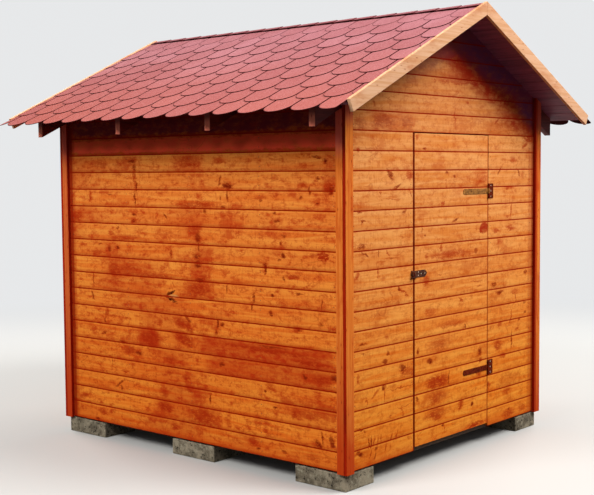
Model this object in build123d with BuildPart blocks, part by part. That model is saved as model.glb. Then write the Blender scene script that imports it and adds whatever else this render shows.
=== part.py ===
from build123d import *
from math import cos, radians, sin, tan
import os

os.makedirs("parts", exist_ok=True)

# Timber shed with a gable roof, standing on loose concrete blocks.
# The frame is at ground level under the middle of the roof, +Z up, and the door gable faces -Y.

# Foundation blocks
block_height = 100
block_width = 270
block_length = 380
block_gap = 10
block_inset = 4

# Outside of the wall boards
wall_width = 2200
wall_length = 2500
clad_thickness = 19

# Floor
bearer = 70
joist_width = 44
joist_count = 5
floor_thickness = 19
front_setback = 5

# Wall frame
stud = 44
over_door = 150

# Roof
pitch = 25.3
rafter_width = 45
rafter_depth = 110
rafter_reach = 235
birdsmouth = 18
rafter_pairs = 4
ridge_thickness = 22
ridge_depth = 135
deck_thickness = 18
eave_reach = 280
gable_reach = 233
shingle_thickness = 6
shingle_overhang = 25
tab_count = 15
tab_depth = 82
cap_thickness = 4
cap_leg = 70

# Barge boards and corner trims
barge_thickness = 22
barge_depth = 75
barge_rise = 8
trim_thickness = 22
front_trim_width = 72
side_trim_width = 50
trim_drop = 7

# Door
door_width = 860
door_centre = 10.5
door_opening = 1955
door_bottom = 23
door_gap = 5.5
stop_width = 12
stop_depth = 20
ledge_height = 95
ledge_thickness = 19
ledge_inset = 20
brace_width = 80
latch_height = 1202

# Strap hinges
hinge_low = 512
hinge_high = 1694
hinge_standoff = 8
knuckle_radius = 6
hinge_pin_radius = 3
hinge_slack = 0.3
strap_length = 305
strap_height = 35
hinge_sheet = 3.5
plate_width = 58
plate_height = 98

# Hasp and staple
hasp_height = 43
hasp_sheet = 2.5
hasp_leaf_length = 117
hasp_strap_length = 61
hasp_inset = 20.5
hasp_knuckle_radius = 4
knuckle_bite = 0.3
hasp_pin_radius = 2
staple_wire = 5
staple_height = 28
staple_reach = 23.5
staple_plate = 2
slot_slack = 1.5
slot_swing = 5.5

# Levels and planes that follow from the sizes
slope = radians(pitch)
half_w = wall_width / 2
half_l = wall_length / 2
frame_x = half_w - clad_thickness
frame_y = half_l - clad_thickness
clad_z = block_height + block_gap
bearer_top = block_height + bearer
floor_top = bearer_top + floor_thickness
door_head_z = clad_z + door_opening
plate_top = door_head_z + over_door
plate_bottom = plate_top - stud
front_face = -half_l
door_low_z = clad_z + door_bottom
door_left = door_centre - door_width / 2
door_right = door_centre + door_width / 2
opening_left = door_left - door_gap
opening_right = door_right + door_gap
door_top_z = door_head_z - door_gap
roof_y = half_l + gable_reach
eave_x = half_w + eave_reach
joist_front_y = -frame_y + front_setback
pin_x = door_right - knuckle_radius / 4
pin_y = front_face - hinge_standoff


def rafter_under(x):
    # Height of the underside of the rafters at a distance x from the middle
    return plate_top - birdsmouth + (frame_x - x) * tan(slope)


def deck_under(x):
    # Height of the underside of the roof boards, which is the top of the rafters
    return rafter_under(x) + rafter_depth / cos(slope)


deck_apex = deck_under(0)
deck_top_apex = deck_apex + deck_thickness / cos(slope)
shingle_apex = deck_top_apex + shingle_thickness / cos(slope)
barge_apex = shingle_apex + barge_rise / cos(slope)


def rafter_y(i):
    # Middle of each rafter pair, the end pairs close behind the gable boards
    first = -frame_y + rafter_width / 2
    return first - 2 * first * i / (rafter_pairs - 1)


# Foundation blocks, three under each long side, flush with the wall
block_x = half_w - block_width / 2
block_run = wall_length - block_length - 2 * block_inset
with BuildPart() as blocks_left:
    with BuildSketch(Plane.XY):
        with Locations((-block_x, 0)):
            with GridLocations(1, block_run / 2, 1, 3):
                Rectangle(block_width, block_length)
    extrude(amount=block_height)
blocks_left.part.label = "blocks_left"
export_step(blocks_left.part, "parts/blocks_left.step")

with BuildPart() as blocks_right:
    with BuildSketch(Plane.XY):
        with Locations((block_x, 0)):
            with GridLocations(1, block_run / 2, 1, 3):
                Rectangle(block_width, block_length)
    extrude(amount=block_height)
blocks_right.part.label = "blocks_right"
export_step(blocks_right.part, "parts/blocks_right.step")

# Long bearers on the blocks
with BuildPart() as bearers:
    with BuildSketch(Plane.XY.offset(block_height)):
        with GridLocations(2 * frame_x - bearer, 1, 2, 1):
            Rectangle(bearer, 2 * frame_y)
    extrude(amount=bearer)
bearers.part.label = "bearers"
export_step(bearers.part, "parts/bearers.step")

# Joists between the bearers, the front one set back behind the door
joist_run = 2 * frame_y - front_setback - joist_width
with BuildPart() as floor_joists:
    with BuildSketch(Plane.XY.offset(block_height)):
        with Locations((0, front_setback / 2)):
            with GridLocations(1, joist_run / (joist_count - 1), 1, joist_count):
                Rectangle(2 * (frame_x - bearer), joist_width)
    extrude(amount=bearer)
floor_joists.part.label = "floor_joists"
export_step(floor_joists.part, "parts/floor_joists.step")

with BuildPart() as floor_boards:
    with BuildSketch(Plane.XY.offset(bearer_top)):
        with Locations((0, front_setback / 2)):
            Rectangle(2 * frame_x, 2 * frame_y - front_setback)
    extrude(amount=floor_thickness)
floor_boards.part.label = "floor_boards"
export_step(floor_boards.part, "parts/floor_boards.step")

# Sole plates on the floor, open at the doorway
post_x = frame_x - stud / 2
post_y = frame_y - stud / 2
jamb_left_x = opening_left - stud / 2
jamb_right_x = opening_right + stud / 2
with BuildPart() as sole_plates:
    with BuildSketch(Plane.XY.offset(floor_top)):
        with Locations((-post_x, 0), (post_x, 0)):
            Rectangle(stud, 2 * frame_y - 2 * stud)
        with Locations((0, post_y)):
            Rectangle(2 * frame_x - 2 * stud, stud)
        left_run = jamb_left_x - stud / 2 + frame_x - stud
        with Locations((-frame_x + stud + left_run / 2, -post_y)):
            Rectangle(left_run, stud)
        right_run = frame_x - stud - jamb_right_x - stud / 2
        with Locations((frame_x - stud - right_run / 2, -post_y)):
            Rectangle(right_run, stud)
    extrude(amount=stud)
sole_plates.part.label = "sole_plates"
export_step(sole_plates.part, "parts/sole_plates.step")

# Corner posts and studs, from the sole plates to the wall plates, under the middle rafters
with BuildPart() as wall_studs:
    with BuildSketch(Plane.XY.offset(floor_top)):
        with GridLocations(2 * post_x, 2 * post_y, 2, 2):
            Rectangle(stud, stud)
    extrude(amount=plate_bottom - floor_top)
    with BuildSketch(Plane.XY.offset(floor_top + stud)):
        for i in range(1, rafter_pairs - 1):
            with Locations((-post_x, rafter_y(i)), (post_x, rafter_y(i))):
                Rectangle(stud, stud)
        with Locations((0, post_y)):
            with GridLocations(2 * post_x / 3, 1, 2, 1):
                Rectangle(stud, stud)
    extrude(amount=plate_bottom - floor_top - stud)
wall_studs.part.label = "wall_studs"
export_step(wall_studs.part, "parts/wall_studs.step")

# Door frame, two jambs with a head between them
with BuildPart() as door_frame:
    with BuildSketch(Plane.XY.offset(floor_top)):
        with Locations((jamb_left_x, -post_y), (jamb_right_x, -post_y)):
            Rectangle(stud, stud)
    extrude(amount=plate_bottom - floor_top)
    with BuildSketch(Plane.XY.offset(door_head_z)):
        with Locations(((opening_left + opening_right) / 2, -post_y)):
            Rectangle(opening_right - opening_left, stud)
    extrude(amount=stud)
door_frame.part.label = "door_frame"
export_step(door_frame.part, "parts/door_frame.step")

# Wall plates under the rafters and a tie across each gable
with BuildPart() as wall_plates:
    with BuildSketch(Plane.XY.offset(plate_bottom)):
        with Locations((-post_x, 0), (post_x, 0)):
            Rectangle(stud, 2 * frame_y)
    extrude(amount=stud)
wall_plates.part.label = "wall_plates"
export_step(wall_plates.part, "parts/wall_plates.step")

with BuildPart() as gable_ties:
    with BuildSketch(Plane.XY.offset(plate_bottom)):
        with Locations((0, -post_y), (0, post_y)):
            Rectangle(2 * (frame_x - stud), stud)
    extrude(amount=stud)
gable_ties.part.label = "gable_ties"
export_step(gable_ties.part, "parts/gable_ties.step")

# Posts that carry the ridge board
ridge_top = deck_under(ridge_thickness / 2)
ridge_bottom = ridge_top - ridge_depth
with BuildPart() as ridge_posts:
    with BuildSketch(Plane.XY.offset(plate_top)):
        with Locations((0, -post_y), (0, post_y)):
            Rectangle(stud, stud)
    extrude(amount=ridge_bottom - plate_top)
ridge_posts.part.label = "ridge_posts"
export_step(ridge_posts.part, "parts/ridge_posts.step")

with BuildPart() as ridge_board:
    with BuildSketch(Plane.XY.offset(ridge_bottom)):
        Rectangle(ridge_thickness, 2 * frame_y)
    extrude(amount=ridge_depth)
ridge_board.part.label = "ridge_board"
export_step(ridge_board.part, "parts/ridge_board.step")


def rafter_pair(y):
    # Two rafters with a birdsmouth on the wall plates and a plumb cut at both ends
    foot = half_w + rafter_reach
    top = ridge_thickness / 2
    seat = frame_x - birdsmouth / tan(slope)
    with BuildPart() as pair:
        with BuildSketch(Plane.XZ.offset(-y - rafter_width / 2)):
            with BuildLine():
                Polyline(
                    (-foot, rafter_under(foot)),
                    (-frame_x, rafter_under(frame_x)),
                    (-frame_x, plate_top),
                    (-seat, plate_top),
                    (-top, rafter_under(top)),
                    (-top, deck_under(top)),
                    (-foot, deck_under(foot)),
                    close=True,
                )
            make_face()
            mirror(about=Plane.YZ)
        extrude(amount=rafter_width)
    return pair


rafters_front = rafter_pair(rafter_y(0))
rafters_front.part.label = "rafters_front"
export_step(rafters_front.part, "parts/rafters_front.step")

rafters_second = rafter_pair(rafter_y(1))
rafters_second.part.label = "rafters_second"
export_step(rafters_second.part, "parts/rafters_second.step")

rafters_third = rafter_pair(rafter_y(2))
rafters_third.part.label = "rafters_third"
export_step(rafters_third.part, "parts/rafters_third.step")

rafters_rear = rafter_pair(rafter_y(3))
rafters_rear.part.label = "rafters_rear"
export_step(rafters_rear.part, "parts/rafters_rear.step")


def side_wall(side):
    # Boards of one long wall, cut round the rafters and bevelled to the roof
    with BuildPart() as wall:
        with BuildSketch(Plane.XZ.offset(-frame_y)):
            with BuildLine():
                Polyline(
                    (side * half_w, clad_z),
                    (side * frame_x, clad_z),
                    (side * frame_x, deck_under(frame_x)),
                    (side * half_w, deck_under(half_w)),
                    close=True,
                )
            make_face()
        extrude(amount=2 * frame_y)
        for i in range(rafter_pairs):
            with BuildSketch(Plane.XZ.offset(-rafter_y(i) - rafter_width / 2)):
                with BuildLine():
                    Polyline(
                        (side * (half_w + 1), rafter_under(half_w + 1)),
                        (side * (frame_x - 1), rafter_under(frame_x - 1)),
                        (side * (frame_x - 1), deck_under(0)),
                        (side * (half_w + 1), deck_under(0)),
                        close=True,
                    )
                make_face()
            extrude(amount=rafter_width, mode=Mode.SUBTRACT)
    return wall


left_wall = side_wall(-1)
left_wall.part.label = "left_wall"
export_step(left_wall.part, "parts/left_wall.step")

right_wall = side_wall(1)
right_wall.part.label = "right_wall"
export_step(right_wall.part, "parts/right_wall.step")

# Rear wall, one gable from the bottom boards to the roof
with BuildPart() as rear_wall:
    with BuildSketch(Plane.XZ.offset(-half_l)):
        with BuildLine():
            Polyline(
                (-half_w, clad_z),
                (half_w, clad_z),
                (half_w, deck_under(half_w)),
                (0, deck_apex),
                (-half_w, deck_under(half_w)),
                close=True,
            )
        make_face()
    extrude(amount=clad_thickness)
rear_wall.part.label = "rear_wall"
export_step(rear_wall.part, "parts/rear_wall.step")

# Front wall in three pieces, beside and over the doorway
with BuildPart() as front_wall_left:
    with BuildSketch(Plane.XZ.offset(frame_y)):
        with Locations(((opening_left - half_w) / 2, (clad_z + door_head_z) / 2)):
            Rectangle(opening_left + half_w, door_head_z - clad_z)
    extrude(amount=clad_thickness)
front_wall_left.part.label = "front_wall_left"
export_step(front_wall_left.part, "parts/front_wall_left.step")

with BuildPart() as front_wall_right:
    with BuildSketch(Plane.XZ.offset(frame_y)):
        with Locations(((opening_right + half_w) / 2, (clad_z + door_head_z) / 2)):
            Rectangle(half_w - opening_right, door_head_z - clad_z)
    extrude(amount=clad_thickness)
front_wall_right.part.label = "front_wall_right"
export_step(front_wall_right.part, "parts/front_wall_right.step")

with BuildPart() as front_gable:
    with BuildSketch(Plane.XZ.offset(frame_y)):
        with BuildLine():
            Polyline(
                (-half_w, door_head_z),
                (half_w, door_head_z),
                (half_w, deck_under(half_w)),
                (0, deck_apex),
                (-half_w, deck_under(half_w)),
                close=True,
            )
        make_face()
    extrude(amount=clad_thickness)
front_gable.part.label = "front_gable"
export_step(front_gable.part, "parts/front_gable.step")

# Corner trims: the front and rear boards lap over the edges of the side ones
trim_low = clad_z - trim_drop
trim_out = half_w + trim_thickness
trim_in = trim_out - front_trim_width


def gable_trims(y):
    with BuildPart() as trims:
        with BuildSketch(Plane.XZ.offset(-y)):
            with BuildLine():
                Polyline(
                    (-trim_out, trim_low),
                    (-trim_in, trim_low),
                    (-trim_in, deck_under(trim_in)),
                    (-trim_out, deck_under(trim_out)),
                    close=True,
                )
            make_face()
            mirror(about=Plane.YZ)
        extrude(amount=trim_thickness)
    return trims


def side_trims(side):
    with BuildPart() as trims:
        with BuildSketch(Plane.XZ.offset(half_l)):
            with BuildLine():
                Polyline(
                    (side * trim_out, trim_low),
                    (side * half_w, trim_low),
                    (side * half_w, rafter_under(half_w)),
                    (side * trim_out, rafter_under(trim_out)),
                    close=True,
                )
            make_face()
        extrude(amount=-side_trim_width)
        mirror(about=Plane.XZ)
    return trims


trims_front = gable_trims(-half_l)
trims_front.part.label = "trims_front"
export_step(trims_front.part, "parts/trims_front.step")

trims_rear = gable_trims(half_l + trim_thickness)
trims_rear.part.label = "trims_rear"
export_step(trims_rear.part, "parts/trims_rear.step")

trims_left = side_trims(-1)
trims_left.part.label = "trims_left"
export_step(trims_left.part, "parts/trims_left.step")

trims_right = side_trims(1)
trims_right.part.label = "trims_right"
export_step(trims_right.part, "parts/trims_right.step")

# Roof boards on the rafters, square cut at the eaves
deck_run = (eave_x - deck_thickness * sin(slope)) / cos(slope)
deck_left_plane = Plane((0, 0, deck_apex), x_dir=(-cos(slope), 0, -sin(slope)), z_dir=(-sin(slope), 0, cos(slope)))
deck_right_plane = Plane((0, 0, deck_apex), x_dir=(cos(slope), 0, -sin(slope)), z_dir=(sin(slope), 0, cos(slope)))
with BuildPart() as roof_boards_left:
    with BuildSketch(deck_left_plane):
        with Locations((deck_run / 2, 0)):
            Rectangle(deck_run, 2 * roof_y)
    extrude(amount=deck_thickness)
roof_boards_left.part.label = "roof_boards_left"
export_step(roof_boards_left.part, "parts/roof_boards_left.step")

with BuildPart() as roof_boards_right:
    with BuildSketch(deck_right_plane):
        with Locations((deck_run / 2, 0)):
            Rectangle(deck_run, 2 * roof_y)
    extrude(amount=deck_thickness)
roof_boards_right.part.label = "roof_boards_right"
export_step(roof_boards_right.part, "parts/roof_boards_right.step")


def shingle_slope(side):
    # Covering of one slope, with the round ends of the lowest course hanging over the eave
    run = (eave_x + shingle_overhang) / cos(slope)
    width = 2 * roof_y / tab_count
    across = Vector(side * cos(slope), 0, -sin(slope))
    normal = Vector(side * sin(slope), 0, cos(slope))
    with BuildPart() as covering:
        with BuildSketch(Plane((0, 0, deck_top_apex), x_dir=across, z_dir=normal)):
            with BuildLine():
                Polyline((run, -roof_y), (0, -roof_y), (0, roof_y), (run, roof_y))
                for i in range(tab_count):
                    y = roof_y - i * width
                    ThreePointArc((run, y), (run + tab_depth, y - width / 2), (run, y - width))
            make_face()
        extrude(amount=shingle_thickness)
    return covering


shingles_left = shingle_slope(-1)
shingles_left.part.label = "shingles_left"
export_step(shingles_left.part, "parts/shingles_left.step")

shingles_right = shingle_slope(1)
shingles_right.part.label = "shingles_right"
export_step(shingles_right.part, "parts/shingles_right.step")

# Folded strip over the ridge
cap_x = cap_leg * cos(slope)
cap_drop = cap_leg * sin(slope)
cap_rise = cap_thickness / cos(slope)
with BuildPart() as ridge_cap:
    with BuildSketch(Plane.XZ.offset(-roof_y)):
        with BuildLine():
            Polyline(
                (-cap_x, shingle_apex - cap_drop),
                (0, shingle_apex),
                (cap_x, shingle_apex - cap_drop),
                (cap_x, shingle_apex - cap_drop + cap_rise),
                (0, shingle_apex + cap_rise),
                (-cap_x, shingle_apex - cap_drop + cap_rise),
                close=True,
            )
        make_face()
    extrude(amount=2 * roof_y)
ridge_cap.part.label = "ridge_cap"
export_step(ridge_cap.part, "parts/ridge_cap.step")


def barge_board(side, y):
    # Board on the end of the roof boards, plumb cut at the ridge and square cut at the eave
    low = barge_depth * sin(slope)
    fall = (eave_x - low) * tan(slope)
    with BuildPart() as board:
        with BuildSketch(Plane.XZ.offset(-y)):
            with BuildLine():
                Polyline(
                    (0, barge_apex),
                    (side * eave_x, barge_apex - eave_x * tan(slope)),
                    (side * (eave_x - low), barge_apex - barge_depth / cos(slope) - fall),
                    (0, barge_apex - barge_depth / cos(slope)),
                    close=True,
                )
            make_face()
        extrude(amount=barge_thickness)
    return board


barge_front_left = barge_board(-1, -roof_y)
barge_front_left.part.label = "barge_front_left"
export_step(barge_front_left.part, "parts/barge_front_left.step")

barge_front_right = barge_board(1, -roof_y)
barge_front_right.part.label = "barge_front_right"
export_step(barge_front_right.part, "parts/barge_front_right.step")

barge_rear_left = barge_board(-1, roof_y + barge_thickness)
barge_rear_left.part.label = "barge_rear_left"
export_step(barge_rear_left.part, "parts/barge_rear_left.step")

barge_rear_right = barge_board(1, roof_y + barge_thickness)
barge_rear_right.part.label = "barge_rear_right"
export_step(barge_rear_right.part, "parts/barge_rear_right.step")

# Strips on the jambs and head that the door closes on
stop_front = -frame_y + front_setback
with BuildPart() as door_stops:
    with BuildSketch(Plane.XY.offset(floor_top)):
        with Locations((opening_left + stop_width / 2, stop_front + stop_depth / 2)):
            Rectangle(stop_width, stop_depth)
        with Locations((opening_right - stop_width / 2, stop_front + stop_depth / 2)):
            Rectangle(stop_width, stop_depth)
    extrude(amount=door_head_z - floor_top)
    with BuildSketch(Plane.XY.offset(door_head_z - stop_width)):
        with Locations(((opening_left + opening_right) / 2, stop_front + stop_depth / 2)):
            Rectangle(opening_right - opening_left, stop_depth)
    extrude(amount=stop_width)
door_stops.part.label = "door_stops"
export_step(door_stops.part, "parts/door_stops.step")

# Door leaf, flush with the wall boards
with BuildPart() as door_boards:
    with BuildSketch(Plane.XZ.offset(frame_y)):
        with Locations((door_centre, (door_low_z + door_top_z) / 2)):
            Rectangle(door_width, door_top_z - door_low_z)
    extrude(amount=clad_thickness)
door_boards.part.label = "door_boards"
export_step(door_boards.part, "parts/door_boards.step")

# Ledges and braces behind the leaf
ledge_width = door_width - 2 * ledge_inset
with BuildPart() as door_ledges:
    with BuildSketch(Plane.XZ.offset(frame_y)):
        for z in (hinge_low, latch_height, hinge_high):
            with Locations((door_centre, z)):
                Rectangle(ledge_width, ledge_height)
    extrude(amount=-ledge_thickness)
door_ledges.part.label = "door_ledges"
export_step(door_ledges.part, "parts/door_ledges.step")

brace_right = door_right - ledge_inset - brace_width
brace_left = door_left + ledge_inset
with BuildPart() as door_braces:
    with BuildSketch(Plane.XZ.offset(frame_y)):
        for low, high in ((hinge_low, latch_height), (latch_height, hinge_high)):
            with BuildLine():
                Polyline(
                    (brace_right + brace_width, low + ledge_height / 2),
                    (brace_left + brace_width, high - ledge_height / 2),
                    (brace_left, high - ledge_height / 2),
                    (brace_right, low + ledge_height / 2),
                    close=True,
                )
            make_face()
    extrude(amount=-ledge_thickness)
door_braces.part.label = "door_braces"
export_step(door_braces.part, "parts/door_braces.step")


def hinge_strap(z):
    # Strap on the door, round at its free end and rolled round the pin in the middle knuckle
    tongue = plate_height / 3 - 2 * hinge_slack
    near = pin_x - knuckle_radius
    far = pin_x - strap_length
    tip = strap_height / 2
    with BuildPart() as strap:
        with BuildSketch(Plane.XZ.offset(-front_face)):
            with BuildLine():
                Polyline((far + tip, z - tip), (near, z - tip), (near, z + tip), (far + tip, z + tip))
                ThreePointArc((far + tip, z + tip), (far, z), (far + tip, z - tip))
            make_face()
        extrude(amount=hinge_sheet)
        with BuildSketch(Plane.XY.offset(z - tongue / 2)):
            with Locations((pin_x, pin_y)):
                Circle(knuckle_radius)
            with Locations(((near - hinge_sheet + pin_x) / 2, front_face - hinge_sheet / 2)):
                Rectangle(pin_x - near + hinge_sheet, hinge_sheet)
            with Locations((pin_x, pin_y)):
                Circle(hinge_pin_radius + hinge_slack, mode=Mode.SUBTRACT)
        extrude(amount=tongue)
    return strap


def hinge_plate(z):
    # Plate on the wall with two knuckles and the pin
    tongue = plate_height / 3
    left = opening_right
    right = pin_x + plate_width + knuckle_radius
    with BuildPart() as plate:
        with BuildSketch(Plane.XZ.offset(-front_face)):
            with Locations(((left + right) / 2, z)):
                RectangleRounded(right - left, plate_height, knuckle_radius)
        extrude(amount=hinge_sheet)
        for low in (z - plate_height / 2, z + tongue / 2):
            with BuildSketch(Plane.XY.offset(low)):
                with Locations((pin_x, pin_y)):
                    Circle(knuckle_radius)
                with Locations(((pin_x + left) / 2 + hinge_sheet, front_face - hinge_sheet / 2)):
                    Rectangle(left - pin_x + 2 * hinge_sheet, hinge_sheet)
            extrude(amount=tongue)
        with BuildSketch(Plane.XY.offset(z - plate_height / 2)):
            with Locations((pin_x, pin_y)):
                Circle(hinge_pin_radius)
        extrude(amount=plate_height)
    return plate


hinge_strap_lower = hinge_strap(hinge_low)
hinge_strap_lower.part.label = "hinge_strap_lower"
export_step(hinge_strap_lower.part, "parts/hinge_strap_lower.step")

hinge_strap_upper = hinge_strap(hinge_high)
hinge_strap_upper.part.label = "hinge_strap_upper"
export_step(hinge_strap_upper.part, "parts/hinge_strap_upper.step")

hinge_plate_lower = hinge_plate(hinge_low)
hinge_plate_lower.part.label = "hinge_plate_lower"
export_step(hinge_plate_lower.part, "parts/hinge_plate_lower.step")

hinge_plate_upper = hinge_plate(hinge_high)
hinge_plate_upper.part.label = "hinge_plate_upper"
export_step(hinge_plate_upper.part, "parts/hinge_plate_upper.step")

# Hasp: a pointed leaf screwed to the door and a slotted strap that drops over the staple
hasp_x = door_left + hasp_inset
hasp_y = front_face - hasp_sheet - hasp_knuckle_radius + knuckle_bite
hasp_third = hasp_height / 3
staple_x = hasp_x - hasp_strap_length + staple_wire / 2 + slot_swing + staple_wire
hasp_point = hasp_x + hasp_leaf_length
with BuildPart() as hasp_leaf:
    with BuildSketch(Plane.XZ.offset(-front_face)):
        with BuildLine():
            Polyline(
                (hasp_x, latch_height - hasp_height / 2),
                (hasp_point - hasp_height / 2, latch_height - hasp_height / 2),
                (hasp_point, latch_height),
                (hasp_point - hasp_height / 2, latch_height + hasp_height / 2),
                (hasp_x, latch_height + hasp_height / 2),
                close=True,
            )
        make_face()
        with Locations((hasp_x, latch_height)):
            Rectangle(2 * hasp_knuckle_radius + 2 * hinge_slack, hasp_third, mode=Mode.SUBTRACT)
    extrude(amount=hasp_sheet)
    for low in (latch_height - hasp_height / 2, latch_height + hasp_third / 2):
        with BuildSketch(Plane.XY.offset(low)):
            with Locations((hasp_x, hasp_y)):
                Circle(hasp_knuckle_radius)
        extrude(amount=hasp_third)
    with BuildSketch(Plane.XY.offset(latch_height - hasp_height / 2)):
        with Locations((hasp_x, hasp_y)):
            Circle(hasp_pin_radius)
    extrude(amount=hasp_height)
hasp_leaf.part.label = "hasp_leaf"
export_step(hasp_leaf.part, "parts/hasp_leaf.step")

hasp_outer = hasp_y - hasp_knuckle_radius
with BuildPart() as hasp_strap:
    with BuildSketch(Plane.XZ.offset(-hasp_outer - hasp_sheet)):
        with Locations((hasp_x - hasp_knuckle_radius - (hasp_strap_length - hasp_knuckle_radius) / 2, latch_height)):
            RectangleRounded(hasp_strap_length - hasp_knuckle_radius, hasp_height, hasp_knuckle_radius)
        slot_left = staple_x - staple_wire / 2 - slot_swing
        slot_right = staple_x + staple_wire / 2 + slot_slack
        with Locations(((slot_left + slot_right) / 2, latch_height)):
            Rectangle(slot_right - slot_left, staple_height + 2 * slot_slack, mode=Mode.SUBTRACT)
    extrude(amount=hasp_sheet)
    with BuildSketch(Plane.XY.offset(latch_height - hasp_third / 2 + hinge_slack)):
        with Locations((hasp_x, hasp_y)):
            Circle(hasp_knuckle_radius)
        with Locations((hasp_x - hasp_knuckle_radius, hasp_outer + hasp_sheet / 2)):
            Rectangle(2 * hasp_knuckle_radius, hasp_sheet)
        with Locations((hasp_x, hasp_y)):
            Circle(hasp_pin_radius + hinge_slack, mode=Mode.SUBTRACT)
    extrude(amount=hasp_third - 2 * hinge_slack)
hasp_strap.part.label = "hasp_strap"
export_step(hasp_strap.part, "parts/hasp_strap.step")

# Staple on the wall beside the door, a bent rod on a small plate
with BuildPart() as staple:
    with BuildSketch(Plane.XZ.offset(-front_face)):
        with Locations((staple_x, latch_height)):
            Rectangle(3 * staple_wire, staple_height + 4 * staple_wire)
    extrude(amount=staple_plate)
    with BuildSketch(Plane.YZ.offset(staple_x - staple_wire / 2)):
        with Locations((front_face - staple_reach / 2, latch_height)):
            Rectangle(staple_reach, staple_height)
        with Locations((front_face - staple_reach / 2 + staple_wire / 2, latch_height)):
            Rectangle(staple_reach - staple_wire, staple_height - 2 * staple_wire, mode=Mode.SUBTRACT)
    extrude(amount=staple_wire)
staple.part.label = "staple"
export_step(staple.part, "parts/staple.step")
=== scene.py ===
import math
import random

import bmesh
import bpy
from mathutils import Matrix, Vector


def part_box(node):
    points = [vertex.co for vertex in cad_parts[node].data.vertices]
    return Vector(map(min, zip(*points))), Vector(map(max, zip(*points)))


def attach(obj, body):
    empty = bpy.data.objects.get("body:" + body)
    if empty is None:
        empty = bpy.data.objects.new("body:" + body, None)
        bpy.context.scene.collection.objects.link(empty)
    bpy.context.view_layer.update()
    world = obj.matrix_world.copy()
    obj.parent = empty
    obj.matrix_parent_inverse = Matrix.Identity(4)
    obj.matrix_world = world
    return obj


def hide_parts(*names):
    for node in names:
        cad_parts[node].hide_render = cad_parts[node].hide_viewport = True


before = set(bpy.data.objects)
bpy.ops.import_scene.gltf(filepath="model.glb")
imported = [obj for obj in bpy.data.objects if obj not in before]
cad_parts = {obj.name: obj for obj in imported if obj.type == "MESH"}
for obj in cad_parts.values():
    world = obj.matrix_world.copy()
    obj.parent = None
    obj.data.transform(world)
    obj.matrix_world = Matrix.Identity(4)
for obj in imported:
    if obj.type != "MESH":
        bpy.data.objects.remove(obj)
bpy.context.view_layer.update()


# Foundation blocks: six loose blocks of rough concrete, laid flat under the long sides.
# Cast in a mould, so the faces are pitted and the edges are worn and a little chipped.
def stain(red, green, blue):
    """A colour given 0 to 255, as the light value that a shader takes."""
    out = []
    for part in (red, green, blue):
        c = part / 255
        out.append(c / 12.92 if c <= 0.04045 else ((c + 0.055) / 1.055) ** 2.4)
    return (*out, 1.0)


class Finish:
    """A material under construction, with short words for the nodes that every finish here uses."""

    def __init__(self, name, roughness, gloss=0.3):
        self.material = bpy.data.materials.new(name)
        self.material.use_nodes = True
        self.tree = self.material.node_tree
        self.shader = self.tree.nodes["Principled BSDF"]
        self.shader.inputs["Roughness"].default_value = roughness
        self.shader.inputs["Specular IOR Level"].default_value = gloss
        self.place = self.add("ShaderNodeTexCoord").outputs["Object"]

    def add(self, kind, **settings):
        made = self.tree.nodes.new(kind)
        for key, value in settings.items():
            setattr(made, key, value)
        return made

    def join(self, source, socket):
        """Links what another node gives, or sets a plain value."""
        if isinstance(source, bpy.types.NodeSocket):
            self.tree.links.new(source, socket)
        else:
            socket.default_value = source

    def fill(self, made, *values):
        """Joins values to a node's sockets in their order, and gives its first result."""
        for socket, value in zip(made.inputs, values):
            self.join(value, socket)
        return made.outputs[0]

    def math(self, word, a, b=0.0, c=0.0):
        return self.fill(self.add("ShaderNodeMath", operation=word), a, b, c)

    def stretch(self, source, size, shift=(0, 0, 0)):
        return self.fill(self.add("ShaderNodeVectorMath", operation="MULTIPLY_ADD"), source, size, shift)

    def point(self, x, y, z):
        return self.fill(self.add("ShaderNodeCombineXYZ"), x, y, z)

    def split(self, source):
        """The three parts of a place or a colour."""
        made = self.add("ShaderNodeSeparateXYZ")
        self.join(source, made.inputs[0])
        return made.outputs

    def length(self, source):
        made = self.add("ShaderNodeVectorMath", operation="LENGTH")
        self.join(source, made.inputs[0])
        return made.outputs["Value"]

    def cloud(self, source, scale, detail=3.0, rough=0.55, warp=0.0):
        """Soft noise between 0 and 1, its scale per metre."""
        made = self.add("ShaderNodeTexNoise")
        self.join(source, made.inputs["Vector"])
        made.inputs["Scale"].default_value = scale
        made.inputs["Detail"].default_value = detail
        made.inputs["Roughness"].default_value = rough
        made.inputs["Distortion"].default_value = warp
        return made.outputs["Fac"]

    def ramp(self, source, low, high, start=0.0, end=1.0):
        """Goes smoothly from start to end while the source goes from low to high."""
        made = self.add("ShaderNodeMapRange", interpolation_type="SMOOTHSTEP")
        return self.fill(made, source, low, high, start, end)

    def blend(self, amount, first, second):
        made = self.add("ShaderNodeMix", data_type="RGBA", blend_type="MIX")
        self.join(amount, made.inputs[0])
        self.join(first, made.inputs[6])
        self.join(second, made.inputs[7])
        return made.outputs[2]

    def relief(self, height, distance, strength):
        made = self.add("ShaderNodeBump")
        made.inputs["Strength"].default_value = strength
        made.inputs["Distance"].default_value = distance
        self.join(height, made.inputs["Height"])
        self.join(made.outputs[0], self.shader.inputs["Normal"])

    def colour(self, source):
        self.join(source, self.shader.inputs["Base Color"])
        return self.material


def show(bm, name, finishes, body, nodes=()):
    """Makes the piece from its mesh, and hands it to the body that carries it."""
    mesh = bpy.data.meshes.new(name)
    bm.to_mesh(mesh)
    bm.free()
    piece = bpy.data.objects.new(name, mesh)
    bpy.context.scene.collection.objects.link(piece)
    for finish in finishes:
        mesh.materials.append(finish)
    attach(piece, body)
    if nodes:
        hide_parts(*nodes)


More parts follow.
